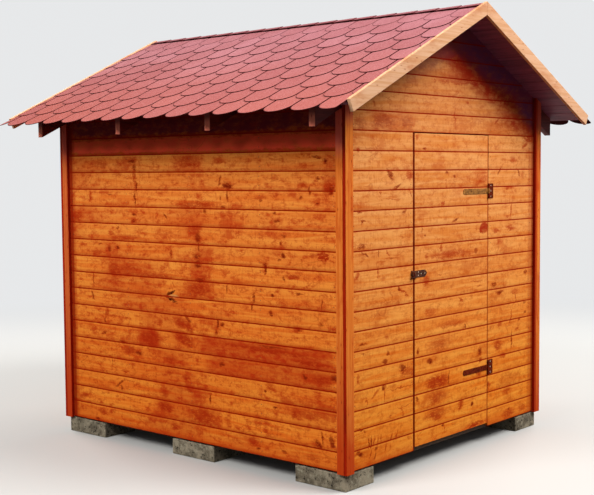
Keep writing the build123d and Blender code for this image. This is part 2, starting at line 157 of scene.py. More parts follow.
def merged(node):
    """The solid of a node as one closed mesh with its flat faces whole."""
    bm = bmesh.new()
    bm.from_mesh(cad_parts[node].data)
    bmesh.ops.remove_doubles(bm, verts=bm.verts, dist=0.00002)
    bmesh.ops.dissolve_limit(bm, angle_limit=0.02, verts=bm.verts, edges=bm.edges)
    return bm


def chamfer(bm, edges, width, segments):
    """Takes the edges off to a width, flat with one segment and rounded with more."""
    bmesh.ops.bevel(
        bm, geom=edges, offset=width, offset_type="OFFSET", affect="EDGES",
        segments=segments, profile=0.5, material=-1, clamp_overlap=True,
    )


def ease(bm, width, segments=2):
    """Takes the sharp arris off every edge."""
    sharp = 0.35
    chamfer(bm, [e for e in bm.edges if e.is_manifold and e.calc_face_angle() > sharp], width, segments)


concrete = Finish("rough_concrete", roughness=0.92)
pits = concrete.cloud(concrete.place, 46, detail=5, rough=0.7)
patches = concrete.cloud(concrete.place, 11, detail=5, rough=0.7)
moss = concrete.ramp(concrete.cloud(concrete.place, 16, detail=4), 0.60, 0.72, 0.0, 0.35)
tone = concrete.blend(concrete.ramp(patches, 0.35, 0.65), stain(96, 86, 70), stain(156, 144, 122))
tone = concrete.blend(concrete.ramp(pits, 0.56, 0.63), tone, stain(40, 34, 26))
tone = concrete.blend(concrete.ramp(pits, 0.44, 0.34, 0.0, 0.5), tone, stain(184, 178, 154))
tone = concrete.blend(moss, tone, stain(72, 66, 44))
concrete.relief(concrete.math("SUBTRACT", 1.0, pits), distance=0.004, strength=0.8)
concrete.colour(tone)

random.seed(11)
block_height, rim, outer_face, uneven = 0.100, 0.002, 1.07, 0.0012
for row in ("blocks_left", "blocks_right"):
    bm = merged(row)
    ease(bm, width=0.005)
    bmesh.ops.subdivide_edges(bm, edges=bm.edges, cuts=1, use_grid_fill=True)
    for v in bm.verts:
        if rim < v.co.z < block_height - rim and abs(v.co.x) < outer_face:
            v.co.x += random.uniform(-uneven, uneven)
    show(bm, "cast_" + row, [concrete.material], "shed", (row,))


# Base timbers: two long bearers on the blocks with joists between them.
# Sawn softwood, nailed together, treated, and gone dark with damp.
def drawn_out(along, lengthways, across):
    """The scales of a pattern that runs along the grain, 0 to 2 for X to Z."""
    size = [across, across, across]
    size[along] = lengthways
    return size


class Timber(Finish):
    """A finish with grain and knots in it."""

    def streaks(self, source, size, detail=3.0, rough=0.55, warp=0.0, shift=(0, 0, 0)):
        """Noise drawn out by a scale for each axis."""
        return self.cloud(self.stretch(source, size, shift), 1.0, detail, rough, warp)

    def cells(self, source, scale, dimensions="3D"):
        """Scattered knots: how far the nearest heart is, and a colour of its own for each."""
        made = self.add("ShaderNodeTexVoronoi", voronoi_dimensions=dimensions)
        self.join(source, made.inputs["Vector"])
        made.inputs["Scale"].default_value = scale
        return made.outputs


def sawn(name, along, hues, roughness=0.72):
    """Plain timber with its grain along one axis, in a pale, a deep and a knot's hue."""
    pale, deep, knot = hues
    wood = Timber(name, roughness)
    grain = wood.streaks(wood.place, drawn_out(along, 1.3, 34.0), detail=5, rough=0.62, warp=0.6)
    bands = wood.streaks(wood.place, drawn_out(along, 1.1, 9.0), rough=0.5, warp=0.8)
    hearts = wood.cells(wood.stretch(wood.place, drawn_out(along, 3.2, 11.0)), 1.0)
    tone = wood.blend(wood.ramp(grain, 0.32, 0.68), pale, deep)
    tone = wood.blend(wood.ramp(bands, 0.42, 0.70, 0.0, 0.55), tone, deep)
    tone = wood.blend(wood.ramp(hearts["Distance"], 0.10, 0.19, 0.85, 0.0), tone, knot)
    wood.relief(grain, distance=0.0012, strength=0.5)
    return wood.colour(tone)


def eased(node, word, finishes, body, arris, segments=2, pick=None):
    """Shows the solid of a node with its arrises taken off; pick says which finish a face has."""
    bm = merged(node)
    if pick:
        for f in bm.faces:
            f.material_index = pick(f)
    ease(bm, arris, segments)
    show(bm, word + node, finishes, body, (node,))


damp_hues = stain(92, 68, 48), stain(52, 36, 26), stain(30, 20, 14)
for node, name, along in (("bearers", "damp_bearer", 1), ("floor_joists", "damp_joist", 0)):
    eased(node, "sawn_", [sawn(name, along, damp_hues)], "shed", arris=0.002)


# Floor: lapped boards nailed down on the joists, bare and planed.
# Each wall, floor and roof slope is sawn here into its boards, so that they keep the solid's outline.
def sawn_off(bm, step, low, high):
    """The part of a sheet between two planes across step, closed where it was cut."""
    piece = bm.copy()
    for level, way in ((low, -1), (high, 1)):
        cut = bmesh.ops.bisect_plane(
            piece, geom=piece.verts[:] + piece.edges[:] + piece.faces[:], dist=0.00001,
            plane_co=step * level, plane_no=step * way, clear_outer=True,
        )
        rim = [e for e in cut["geom_cut"] if isinstance(e, bmesh.types.BMEdge)]
        if rim:
            bmesh.ops.holes_fill(piece, edges=rim, sides=0)
    return piece


def boards(bm, step, lines, face, gap, bevel, tongue):
    """Cuts a sheet into boards at lines along step, bevels them on the shown face and adds the tongues."""
    hair, tongue_share = 0.00005, 0.72
    out = bmesh.new()
    spare = bpy.data.meshes.new("cut")
    middle = sum(v.co.dot(face) for v in bm.verts) / len(bm.verts)
    strips = [(a + gap / 2, b - gap / 2, False) for a, b in zip(lines, lines[1:])]
    strips += [(a - tongue, a + tongue, True) for a in lines[1:-1]]
    for low, high, is_tongue in strips:
        piece = sawn_off(bm, step, low, high)
        if is_tongue:
            for v in piece.verts:
                v.co += face * (middle - v.co.dot(face)) * (1 - tongue_share)
        elif piece.faces:
            top = max(v.co.dot(face) for v in piece.verts)
            arris = []
            for e in piece.edges:
                along = abs((e.verts[1].co - e.verts[0].co).dot(step)) < hair
                level = e.verts[0].co.dot(step)
                shown = min(v.co.dot(face) for v in e.verts) > top - hair
                if along and shown and min(abs(level - low), abs(level - high)) < 2 * hair:
                    arris.append(e)
            if arris:
                chamfer(piece, arris, bevel, 1)
        bmesh.ops.recalc_face_normals(piece, faces=piece.faces)
        piece.to_mesh(spare)
        out.from_mesh(spare)
        piece.free()
    bpy.data.meshes.remove(spare)
    bm.free()
    return out


along_x, along_y, upright = Vector((1, 0, 0)), Vector((0, 1, 0)), Vector((0, 0, 1))
floor_hues = stain(214, 178, 128), stain(176, 132, 84), stain(104, 66, 38)
bare_y = sawn("bare_floor", along=1, hues=floor_hues, roughness=0.62)
floor_cover, floor_count = 0.1066, 20
floor_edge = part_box("floor_boards")[0].x
lines = [floor_edge + floor_cover * i for i in range(floor_count + 1)]
bm = boards(merged("floor_boards"), along_x, lines, upright, gap=0.0012, bevel=0.0015, tongue=0.005)
show(bm, "floor_planks", [bare_y], "shed", ("floor_boards",))


# Wall frame: sole plates, posts and studs, wall plates, gable ties and the door frame.
# Planed softwood, left bare inside; nailed together and seen only through the open door.
pine_hues = stain(218, 182, 130), stain(182, 138, 88), stain(108, 68, 40)
bare_z = sawn("bare_post", along=2, hues=pine_hues, roughness=0.66)
bare_x = sawn("bare_rail", along=0, hues=pine_hues, roughness=0.66)
jamb_hues = stain(150, 34, 10), stain(112, 20, 6), stain(70, 14, 6)
jamb = sawn("stained_jamb", along=2, hues=jamb_hues, roughness=0.66)
for node, wood in (
    ("sole_plates", bare_y), ("wall_studs", bare_z), ("door_frame", jamb), ("door_stops", jamb),
    ("wall_plates", bare_y), ("gable_ties", bare_x), ("ridge_posts", bare_z),
):
    eased(node, "planed_", [wood], "shed", arris=0.0015)


# Wall boards: planed softwood, lapped tongue and groove, 115 mm to the board, with a bevel at each joint.
# Brushed with an orange stain that took unevenly: some lengths of board drank far more of it, the knots
# are dark, and it pooled in the joints and along the corner trims. Painted shade is laid in as well, under
# the eaves, high on the gable, beside the trims and in the door's gaps, and a painted highlight on each
# board's lip.
board_pitch = 0.115
board_start = 0.110


class BoardStain(Timber):
    """The stain on boards that run along X (0) or Y (1), a different cut of the tree in each course."""

    def __init__(self, name, along, seed, rust, red):
        super().__init__(name, roughness=0.7, gloss=0.02)
        self.seed, self.rust, self.red = seed, rust, red
        apart = self.split(self.place)
        self.run, self.rise = apart[along], apart[2]
        courses = self.math("DIVIDE", self.math("SUBTRACT", self.rise, board_start), board_pitch)
        self.course = self.math("FLOOR", courses)
        self.part = self.math("FRACT", courses)
        dice = self.add("ShaderNodeTexWhiteNoise", noise_dimensions="1D")
        self.join(self.math("ADD", self.course, seed), dice.inputs["W"])
        self.luck = dice.outputs["Value"]

    def mark(self, strength, hue):
        """Brushes a hue over the tone so far."""
        self.tone = self.blend(strength, self.tone, hue)

    def grow_knots(self, few):
        """Knots left to chance, large and small, and how far the grain bends round the large ones."""
        other_tree, other_height, per_metre, per_board = 17.31, 13.7, 3.1, 0.60
        along = self.math("MULTIPLY", self.run, per_metre)
        across = self.math("MULTIPLY_ADD", self.course, other_tree, along)
        within = self.math("MULTIPLY", self.part, per_board)
        up = self.math("MULTIPLY_ADD", self.course, other_height, within)
        knots = self.point(across, up, self.seed)
        ragged = self.cloud(knots, 9, detail=5, rough=0.65, warp=0.8)
        wobble = self.math("MULTIPLY_ADD", ragged, 0.36, -0.18)
        self.hearts = []
        for scale, share, size in zip((1.0, 2.6), few, (0.070, 0.105)):
            cells = self.cells(knots, scale, "2D")
            reach = self.ramp(self.split(cells["Color"])[0], share, share + 0.2, -0.4, size)
            near = self.math("ADD", cells["Distance"], wobble)
            self.hearts.append(self.math("DIVIDE", self.math("SUBTRACT", near, reach), 0.06))
        self.bend = self.ramp(self.hearts[0], 0.0, 4.0, 0.9, 0.0)

    def brush_on(self, top_hues, foot_hues):
        """The grain with the stain over it, rust where it lay thicker, a redder foot, and a painted highlight
        on each board's lip.
        """
        cuts_apart = 40.0
        depth = self.math("MULTIPLY_ADD", self.luck, cuts_apart, self.bend)
        self.board = self.point(self.run, self.rise, depth)
        self.wall = self.point(self.run, self.rise, self.seed)
        self.fine = self.streaks(self.wall, (5.0, 170.0, 1.0), detail=4, rough=0.6)
        rings = self.streaks(self.board, (1.6, 24.0, 1.0), detail=4, warp=1.2)
        self.torn = self.streaks(self.board, (13.0, 26.0, 1.0), detail=6, rough=0.72)
        ripple = self.streaks(self.wall, (105.0, 12.0, 1.0), rough=0.6)
        self.drift = self.cloud(self.wall, 7.0, detail=4, rough=0.6)
        smear = self.streaks(self.wall, (2.4, 3.6, 1.0), detail=6, rough=0.72)
        blots = self.streaks(self.wall, (15.0, 22.0, 1.0), detail=5, rough=0.72, warp=0.6, shift=(3, 3, 0))

        level = self.ramp(self.rise, 0.25, 1.95)
        pale = self.blend(level, foot_hues[0], top_hues[0])
        gold = self.blend(level, foot_hues[1], top_hues[1])
        self.tone = self.blend(self.ramp(rings, 0.30, 0.72), pale, gold)
        for pattern, low, high, strength, hue in (
            (self.torn, 0.48, 0.70, 0.85 * self.red, self.rust),
            (blots, 0.52, 0.66, 0.60 * self.red, self.rust),
            (smear, 0.52, 0.64, 0.66 * self.red, self.rust),
            (self.fine, 0.52, 0.80, 0.28, self.rust),
            (ripple, 0.50, 0.76, 0.30, self.rust),
            (ripple, 0.46, 0.26, 0.30, pale),
        ):
            self.mark(self.ramp(pattern, low, high, 0.0, strength), hue)
        self.mark(self.math("MULTIPLY", self.luck, 0.16 * self.red), self.rust)
        # A painted highlight along the top of each board, just under the joint above, where the bevel catches
        # the light.
        painted_lip_highlight = self.ramp(self.part, 0.860, 0.910, 0.0, 0.35)
        self.mark(self.math("MULTIPLY", painted_lip_highlight, self.ramp(self.part, 0.965, 0.935)), pale)
        self.mark(self.ramp(self.rise, 0.112, 0.190, 0.45, 0.0), stain(206, 62, 12))

    def soak(self, lengths):
        """Lengths of board in a deep red: board number, from, to, depth. Most are stain that soaked in; those
        along the top rows are painted shade.
        """
        lane, blur, pull = 10.0, 0.09, 0.19
        drawn = self.math("MULTIPLY_ADD", self.drift, 0.22, self.run)
        ragged = self.math("MULTIPLY_ADD", self.torn, 0.16, drawn)
        place = self.math("MULTIPLY_ADD", self.course, lane, ragged)
        total = 0.0
        for number, start, end, depth in lengths:
            half = (end - start) / 2
            middle = lane * number + (start + end) / 2 + pull
            off = self.math("ABSOLUTE", self.math("SUBTRACT", place, middle))
            total = self.math("MAXIMUM", total, self.ramp(off, half - blur, half + blur, depth, 0.0))
        broken = self.ramp(self.torn, 0.40, 0.58, 0.72, 1.0)
        self.mark(self.math("MULTIPLY", total, broken), stain(182, 42, 12))

    def spot(self, spread, ragged, along, height, wide, tall, depth, turn=0, soft=50):
        """One mark: place and half sizes in millimetres, depth and softness in percent, turn in degrees."""
        pull_along, pull_up = 0.060, 0.035
        centre = (along / 1000 + pull_along, height / 1000 + pull_up, 0.0)
        if turn:
            spin = self.add("ShaderNodeVectorRotate", rotation_type="Z_AXIS")
            self.join(spread, spin.inputs["Vector"])
            spin.inputs["Center"].default_value = centre
            spin.inputs["Angle"].default_value = math.radians(-turn)
            spread = spin.outputs[0]
        size = (1000 / wide, 1000 / tall, ragged)
        far = self.length(self.stretch(spread, size, (-centre[0] * size[0], -centre[1] * size[1], 0)))
        return self.ramp(far, 1.0 - soft / 100, 1.0 + soft / 100, depth / 100, 0.0)

    def spots(self, groups):
        """Knots, smears and checks in their places, and the painted light and shade given with them, each
        group with its hue and its red halo's depth.
        """
        handful = 10
        holes = self.streaks(self.wall, (34.0, 80.0, 1.0), detail=4, rough=0.7, shift=(7, 7, 0))
        lace = self.ramp(holes, 0.42, 0.66)
        drawn = self.math("MULTIPLY_ADD", self.drift, 0.07, self.run)
        spread = self.point(
            self.math("MULTIPLY_ADD", self.torn, 0.050, drawn),
            self.math("MULTIPLY_ADD", self.torn, 0.070, self.rise), lace,
        )
        broken = self.ramp(self.torn, 0.36, 0.56, 0.70, 1.0)
        for hue, halo, places in groups:
            total = 0.0
            for count, place in enumerate(places, start=1):
                if count % handful == 0:
                    # the next handful waits for this one, so that the shader never holds them all at once
                    spread = self.stretch(total, (0, 0, 0), spread)
                total = self.math("MAXIMUM", total, self.spot(spread, 1.1 if halo else 0.3, *place))
            total = self.math("MULTIPLY", total, broken)
            if halo:
                self.mark(self.math("MULTIPLY", self.math("POWER", total, 0.45), halo), stain(204, 64, 14))
            self.mark(total, hue)

    def figure(self):
        """The knots left to chance, and curled figure and thin checks gathered in a few places."""
        for near, halo, heart in zip(self.hearts, (0.55, 0.40), (0.72, 0.55)):
            self.mark(self.ramp(near, 0.0, 1.8, halo, 0.0), self.rust)
            self.mark(self.ramp(near, -0.4, 0.6, heart, 0.0), stain(128, 34, 10))
        waves = self.streaks(self.board, (6.0, 11.0, 1.0), detail=0, rough=0.5, warp=1.4)
        curl = self.math("ABSOLUTE", self.math("SUBTRACT", waves, 0.5))
        here = self.streaks(self.wall, (3.1, 4.2, 1.0), detail=2, shift=(5, 5, 0))
        some = self.ramp(here, 0.50, 0.64, 0.06, 0.42)
        self.mark(self.math("MULTIPLY", self.ramp(curl, 0.004, 0.030, 0.8, 0.0), some), stain(166, 42, 6))

    def joints(self):
        """Stain pooled in the joints between the boards, and a red band fading up from each joint that is
        part stain and part painted shade.
        """
        edge = self.math("MINIMUM", self.part, self.math("SUBTRACT", 1.0, self.part))
        # A red band fading up the lowest quarter of each board: part stain, part painted shade along the
        # joint.
        self.mark(self.ramp(self.part, 0.02, 0.24, 0.45 * self.red, 0.0), stain(150, 36, 8))
        self.mark(self.ramp(edge, 0.016, 0.050, 1.0, 0.0), stain(158, 22, 0))

    def seam(self, line, wide, depth, hue, top=3.0):
        """A darker band beside a trim or the door, up to a height: stain pooled there, with painted shade
        from the trim or in the gap laid over it.
        """
        off = self.math("ABSOLUTE", self.math("SUBTRACT", self.run, line))
        below = self.math("LESS_THAN", self.rise, top)
        self.mark(self.math("MULTIPLY", self.ramp(off, wide * 0.6, wide * 1.3, depth, 0.0), below), hue)


def stained_boards(name, along, seed, hues, red, lengths=(), marks=(), seams=()):
    """The finish of one wall: its hues at the top and the foot, all that the stain did on it, and the painted
    light and shade among its lengths, marks and seams.
    """
    top_hues, foot_hues, rust = hues
    wood = BoardStain(name, along, seed, rust, red)
    wood.grow_knots((0.88, 0.93) if marks else (0.70, 0.84))
    wood.brush_on(top_hues, foot_hues)
    wood.soak(lengths)
    wood.spots(marks)
    wood.figure()
    wood.joints()
    for seam in seams:
        wood.seam(*seam)
    wood.relief(wood.fine, distance=0.0007, strength=0.5)
    return wood.colour(wood.tone)


def clad(node, name, wood, bare, body, face):
    """Saws the sheet of a node into its boards, stained on the face shown and bare on the other."""
    count = int((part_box(node)[1].z - board_start) / board_pitch) + 1
    lines = [board_start + board_pitch * k for k in range(count + 1)]
    bm = boards(merged(node), upright, lines, face, gap=0.0005, bevel=0.0016, tongue=0.006)
    for f in bm.faces:
        f.material_index = int(f.normal.dot(face) < -0.7)
    show(bm, name, [wood, bare], body, (node,))


dark_rust, deep_rust, joint_red = stain(112, 18, 3), stain(164, 36, 8), stain(116, 12, 2)
# The plum hue is painted shade, used high on the gable under the roof overhang.
bare_wood, open_check, painted_shade_plum = stain(242, 182, 100), stain(58, 12, 3), stain(118, 56, 92)
side_orange = (
    (stain(242, 154, 66), stain(226, 116, 42)),
    (stain(248, 148, 50), stain(230, 104, 28)),
    stain(184, 42, 10),
)
front_orange = (
    (stain(242, 168, 98), stain(226, 136, 62)),
    (stain(252, 162, 58), stain(236, 121, 31)),
    stain(188, 64, 8),
)
door_head = 2.066
# a mark's row: along the wall from its middle, height, half length, half height, depth, turn, softness
left_stain = stained_boards(
    "orange_stain_left", along=1, seed=3.0, hues=side_orange, red=1.0,
    lengths=(
        # Boards 16 to 19, and board 15 faintly along its whole length, are painted shade under the eaves; the
        # other lengths are stain that soaked in.
        (19, -1.5, 1.5, 0.9), (18, -1.5, 1.5, 0.9), (17, -1.5, 1.5, 0.85), (16, -1.5, 1.5, 0.80),
        (15, -1.5, 1.5, 0.12), (15, -0.11, 0.15, 0.45), (15, 0.85, 1.20, 0.35), (15, -1.25, -1.10, 0.50),
        (14, 0.92, 1.25, 0.40), (14, -1.25, -1.08, 0.45), (12, 0.90, 1.25, 0.40), (12, -0.14, 0.12, 0.40),
        (11, 1.08, 1.25, 0.45), (11, -0.11, 0.02, 0.50), (10, 0.70, 0.84, 0.35), (10, -0.11, -0.01, 0.40),
        (9, 0.48, 0.86, 0.50), (9, 0.25, 0.48, 0.25), (9, -0.12, -0.01, 0.45), (8, 0.60, 0.84, 0.62),
        (8, 0.25, 0.60, 0.42), (8, -0.20, 0.06, 0.52), (7, 0.06, 0.70, 0.38), (6, 0.08, 0.30, 0.35),
        (6, 0.31, 0.46, 0.55), (5, 0.29, 0.49, 0.95), (5, 0.02, 0.17, 0.40), (5, -1.16, -0.08, 0.82),
        (4, 0.03, 0.32, 0.36), (4, -1.20, -0.14, 0.66), (3, -0.05, 0.29, 0.32), (2, -0.12, 0.32, 0.48),
        (2, -1.15, -0.83, 0.28), (1, -0.22, 0.33, 0.46), (1, 1.08, 1.25, 0.35), (0, -0.12, 0.40, 0.40),
        (0, -0.60, -0.42, 0.25),
    ),
    marks=(
        # The first mark is a painted lighter red on board 16, standing for light below the eave shadow; the
        # second is painted shade along the top of the wall under the eaves.
        (stain(250, 86, 56), 0.0, ((0, 2008, 2400, 46, 86, 0, 20),)),
        (stain(98, 32, 52), 0.0, ((0, 2140, 2400, 62, 80, 0, 20),)),
        (deep_rust, 0.5, (
            (520, 1800, 16, 55, 70), (860, 1890, 60, 30, 50), (820, 1842, 34, 10, 50),
            (1130, 1535, 60, 36, 75), (755, 1420, 32, 12, 60), (620, 1400, 150, 16, 60),
            (920, 1290, 60, 12, 60), (740, 1180, 62, 40, 75), (600, 1190, 100, 30, 60),
            (400, 1160, 260, 18, 60), (20, 1625, 120, 22, 75), (0, 1900, 90, 34, 75),
            (530, 1515, 34, 20, 70), (1070, 1340, 22, 12, 50), (370, 1340, 22, 8, 60),
            (985, 1680, 8, 45, 65), (860, 1697, 80, 4, 60), (760, 860, 60, 9, 70), (620, 856, 22, 8, 70),
            (830, 880, 20, 30, 65), (585, 640, 62, 28, 75), (385, 745, 92, 48, 70, 0, 30),
            (290, 860, 24, 22, 55), (105, 870, 50, 34, 75, 20), (30, 850, 60, 22, 75, 42),
            (55, 762, 90, 40, 85, 20), (200, 620, 60, 20, 60), (200, 530, 40, 14, 65),
            (50, 520, 34, 14, 70), (20, 445, 44, 20, 75), (650, 492, 32, 9, 75), (260, 390, 40, 30, 60),
            (250, 300, 62, 32, 75), (1090, 268, 60, 20, 70, -20), (900, 185, 42, 20, 65),
            (160, 178, 32, 26, 75), (-270, 1900, 42, 18, 55), (-600, 1675, 52, 13, 60),
            (-110, 1632, 110, 20, 75), (-630, 1285, 32, 9, 60), (-860, 1215, 56, 16, 80),
            (-1090, 1345, 37, 26, 90, 0, 15), (-1020, 1345, 32, 11, 60), (-940, 1755, 32, 15, 70),
            (-1135, 1738, 42, 44, 85), (-50, 1470, 56, 36, 65), (-110, 1172, 52, 18, 70),
            (-75, 1090, 110, 42, 80), (-890, 908, 34, 20, 75), (-640, 762, 380, 14, 75, 1),
            (-1000, 720, 150, 12, 80, 1), (-1080, 630, 80, 30, 70), (-680, 545, 34, 18, 60),
            (-860, 400, 20, 30, 65), (-960, 412, 100, 28, 45), (-100, 285, 120, 48, 75),
            (-520, 190, 32, 30, 70), (-640, 270, 22, 14, 60), (-1000, 160, 60, 18, 50),
            (-320, 275, 22, 32, 50, -30),
        )),
        (dark_rust, 0.6, (
            (545, 1908, 34, 15, 90), (520, 1870, 15, 28, 80), (505, 1740, 10, 32, 90),
            (520, 1660, 7, 50, 85), (535, 1562, 18, 10, 85), (535, 1518, 22, 12, 80),
            (700, 1460, 17, 9, 90), (220, 1550, 22, 7, 80, 45), (175, 1310, 9, 30, 65),
            (870, 1346, 20, 7, 80), (780, 1318, 18, 22, 75), (710, 1336, 15, 9, 90),
            (770, 1685, 20, 6, 65), (955, 1110, 6, 45, 65), (975, 990, 9, 30, 75), (842, 826, 10, 20, 75),
            (860, 735, 30, 11, 80, -25), (668, 690, 30, 11, 90), (505, 630, 30, 18, 80),
            (692, 404, 52, 9, 80, -35), (680, 372, 9, 18, 70), (948, 124, 20, 10, 90),
            (780, 560, 5, 28, 60), (40, 900, 40, 12, 60, 40), (-270, 1780, 10, 30, 80),
            (-335, 1748, 44, 20, 95), (-330, 1690, 9, 34, 75), (-272, 1668, 7, 15, 75),
            (-290, 1616, 20, 9, 85), (-140, 1586, 15, 13, 90), (-612, 1656, 14, 9, 75),
            (-720, 1586, 11, 11, 90), (-735, 1542, 22, 14, 85), (-790, 1456, 19, 9, 85),
            (-772, 1412, 10, 9, 70), (-785, 1340, 17, 12, 90), (-758, 1310, 13, 9, 75),
            (-635, 1260, 14, 34, 90), (-790, 1202, 9, 15, 90), (-1050, 1912, 30, 9, 85),
            (-1110, 1894, 15, 13, 95), (-1050, 1790, 11, 8, 95), (-990, 1722, 9, 30, 80),
            (-1150, 1730, 20, 26, 80), (-1050, 1650, 13, 7, 90), (-930, 1682, 8, 10, 75),
            (-70, 1422, 30, 26, 80), (-80, 1362, 10, 30, 75), (-60, 1304, 34, 20, 85),
            (-72, 1252, 26, 26, 85), (-85, 1150, 34, 16, 85), (-322, 1110, 6, 28, 75),
            (-545, 1072, 11, 34, 85, 6), (-530, 1020, 8, 28, 85, 10), (-690, 1100, 11, 8, 90),
            (-690, 986, 15, 9, 90), (-910, 1120, 28, 6, 75), (-1070, 1072, 5, 28, 75),
            (-1080, 945, 14, 18, 85), (-236, 890, 9, 32, 85), (-280, 886, 22, 9, 90),
            (-222, 832, 10, 20, 85), (-700, 782, 110, 8, 70, 1), (-270, 636, 28, 15, 80),
            (-950, 636, 16, 18, 75), (-1170, 650, 28, 18, 80), (-632, 510, 11, 8, 90),
            (-168, 410, 7, 30, 90), (-715, 420, 21, 10, 95), (-1048, 250, 34, 15, 90, 40),
            (-1082, 285, 6, 38, 85), (-1145, 278, 15, 32, 80), (-575, 150, 15, 9, 90),
            (-780, 160, 20, 5, 75), (-900, 905, 16, 9, 75),
        )),
        (bare_wood, 0.0, ((155, 1034, 42, 11, 90, 0, 40),)),
        (open_check, 0.4, ((172, 1056, 56, 9, 100, -18, 25), (182, 1013, 58, 9, 100, 17, 25))),
    ),
    # Seams: stain pooled beside the corner trims, with painted shade from the trims.
    seams=(
        (1.192, 0.026, 0.85, joint_red), (1.178, 0.036, 0.45, deep_rust), (-1.196, 0.006, 0.5, joint_red),
    ),
)
right_stain = stained_boards("orange_stain_right", along=1, seed=33.0, hues=side_orange, red=1.15)
rear_stain = stained_boards("orange_stain_rear", along=0, seed=57.0, hues=front_orange, red=1.0)
front_left_stain = stained_boards(
    "orange_stain_front_left", along=0, seed=9.0, hues=front_orange, red=0.62,
    marks=(
        (deep_rust, 0.5, (
            (-530, 1105, 62, 7, 80, -24), (-700, 858, 18, 10, 60), (-980, 640, 14, 26, 55),
            (-480, 612, 70, 26, 55), (-728, 500, 6, 44, 65), (-820, 525, 42, 8, 60, 35),
            (-560, 528, 140, 3, 65), (-520, 405, 92, 3, 65), (-670, 368, 18, 11, 65),
            (-540, 370, 9, 30, 55, 20), (-835, 250, 6, 28, 65, -15), (-800, 245, 6, 30, 70, -15),
            (-770, 250, 6, 26, 55, -15), (-660, 245, 6, 26, 60, -15), (-610, 250, 6, 24, 50, -15),
            (-870, 180, 6, 26, 65, -25), (-720, 190, 6, 24, 60, -20), (-680, 180, 6, 20, 60, -20),
            (-970, 1955, 16, 14, 70), (-465, 1805, 34, 26, 60), (-460, 1690, 30, 5, 65, -60),
            (-700, 1350, 30, 5, 55, -40), (-640, 1316, 80, 3, 60), (-785, 1245, 6, 34, 60),
            (-985, 1238, 16, 18, 65), (-650, 1668, 90, 3, 55), (-770, 1700, 14, 5, 60, -30),
            (-900, 500, 8, 20, 50, 20),
        )),
        (dark_rust, 0.6, (
            (-612, 1142, 40, 6, 90, -12), (-585, 1127, 20, 8, 75, -30), (-930, 836, 34, 7, 85),
            (-940, 775, 17, 7, 65), (-690, 750, 14, 15, 65), (-722, 704, 21, 12, 80),
            (-540, 640, 34, 22, 85, -30), (-735, 556, 17, 16, 80), (-960, 336, 42, 5, 80, -20),
            (-890, 248, 6, 32, 90, -15), (-867, 245, 6, 34, 90, -15), (-966, 203, 30, 13, 90, -25),
            (-820, 164, 6, 20, 75, -10), (-820, 200, 11, 9, 75), (-668, 1812, 40, 17, 80, -40),
            (-600, 1736, 42, 5, 80, 18), (-975, 1593, 22, 9, 80), (-940, 1541, 30, 5, 80),
            (-525, 1590, 17, 9, 70, 30), (-950, 1396, 28, 16, 80), (-920, 1350, 30, 10, 80, -40),
            (-782, 1354, 5, 22, 65), (-655, 1308, 28, 5, 65), (-470, 1498, 8, 10, 60),
        )),
    ),
    # Seams: beside the corner trim and the door's gap, stain pooled there with painted shade.
    seams=((-1.044, 0.008, 0.4, joint_red), (-0.425, 0.009, 0.95, joint_red, door_head)),
)
front_right_stain = stained_boards(
    "orange_stain_front_right", along=0, seed=10.0, hues=front_orange, red=0.62,
    marks=(
        (deep_rust, 0.5, (
            (820, 950, 9, 30, 55, 20), (800, 992, 52, 14, 50), (600, 790, 30, 18, 60),
            (752, 820, 8, 40, 60), (832, 726, 30, 9, 60, 20), (585, 645, 46, 34, 70),
            (640, 566, 42, 17, 70), (452, 392, 26, 20, 65), (700, 312, 52, 18, 50),
            (720, 152, 80, 28, 60), (900, 160, 52, 20, 50), (930, 2000, 42, 11, 65, 35),
            (770, 1900, 42, 20, 45), (720, 1712, 62, 9, 65), (740, 1560, 10, 40, 60, -12),
            (700, 1516, 22, 7, 60), (552, 1426, 46, 11, 65), (732, 1436, 52, 17, 70),
            # The last mark here, at the top right corner, is painted shade under the gable overhang.
            (600, 1350, 32, 18, 45), (985, 2052, 60, 30, 75),
        )),
        (dark_rust, 0.6, (
            (510, 1062, 30, 13, 80), (955, 1112, 18, 16, 70), (602, 1005, 48, 10, 80),
            (940, 900, 18, 9, 70), (940, 832, 15, 8, 70), (862, 790, 19, 9, 70), (755, 660, 10, 44, 80),
            (730, 180, 12, 6, 85), (595, 1826, 34, 8, 75, 50), (840, 1816, 40, 8, 70, -40),
        )),
    ),
    # Seams: beside the corner trim, stain pooled there with painted shade.
    seams=((1.052, 0.028, 0.65, joint_red), (1.040, 0.060, 0.4, deep_rust)),
)
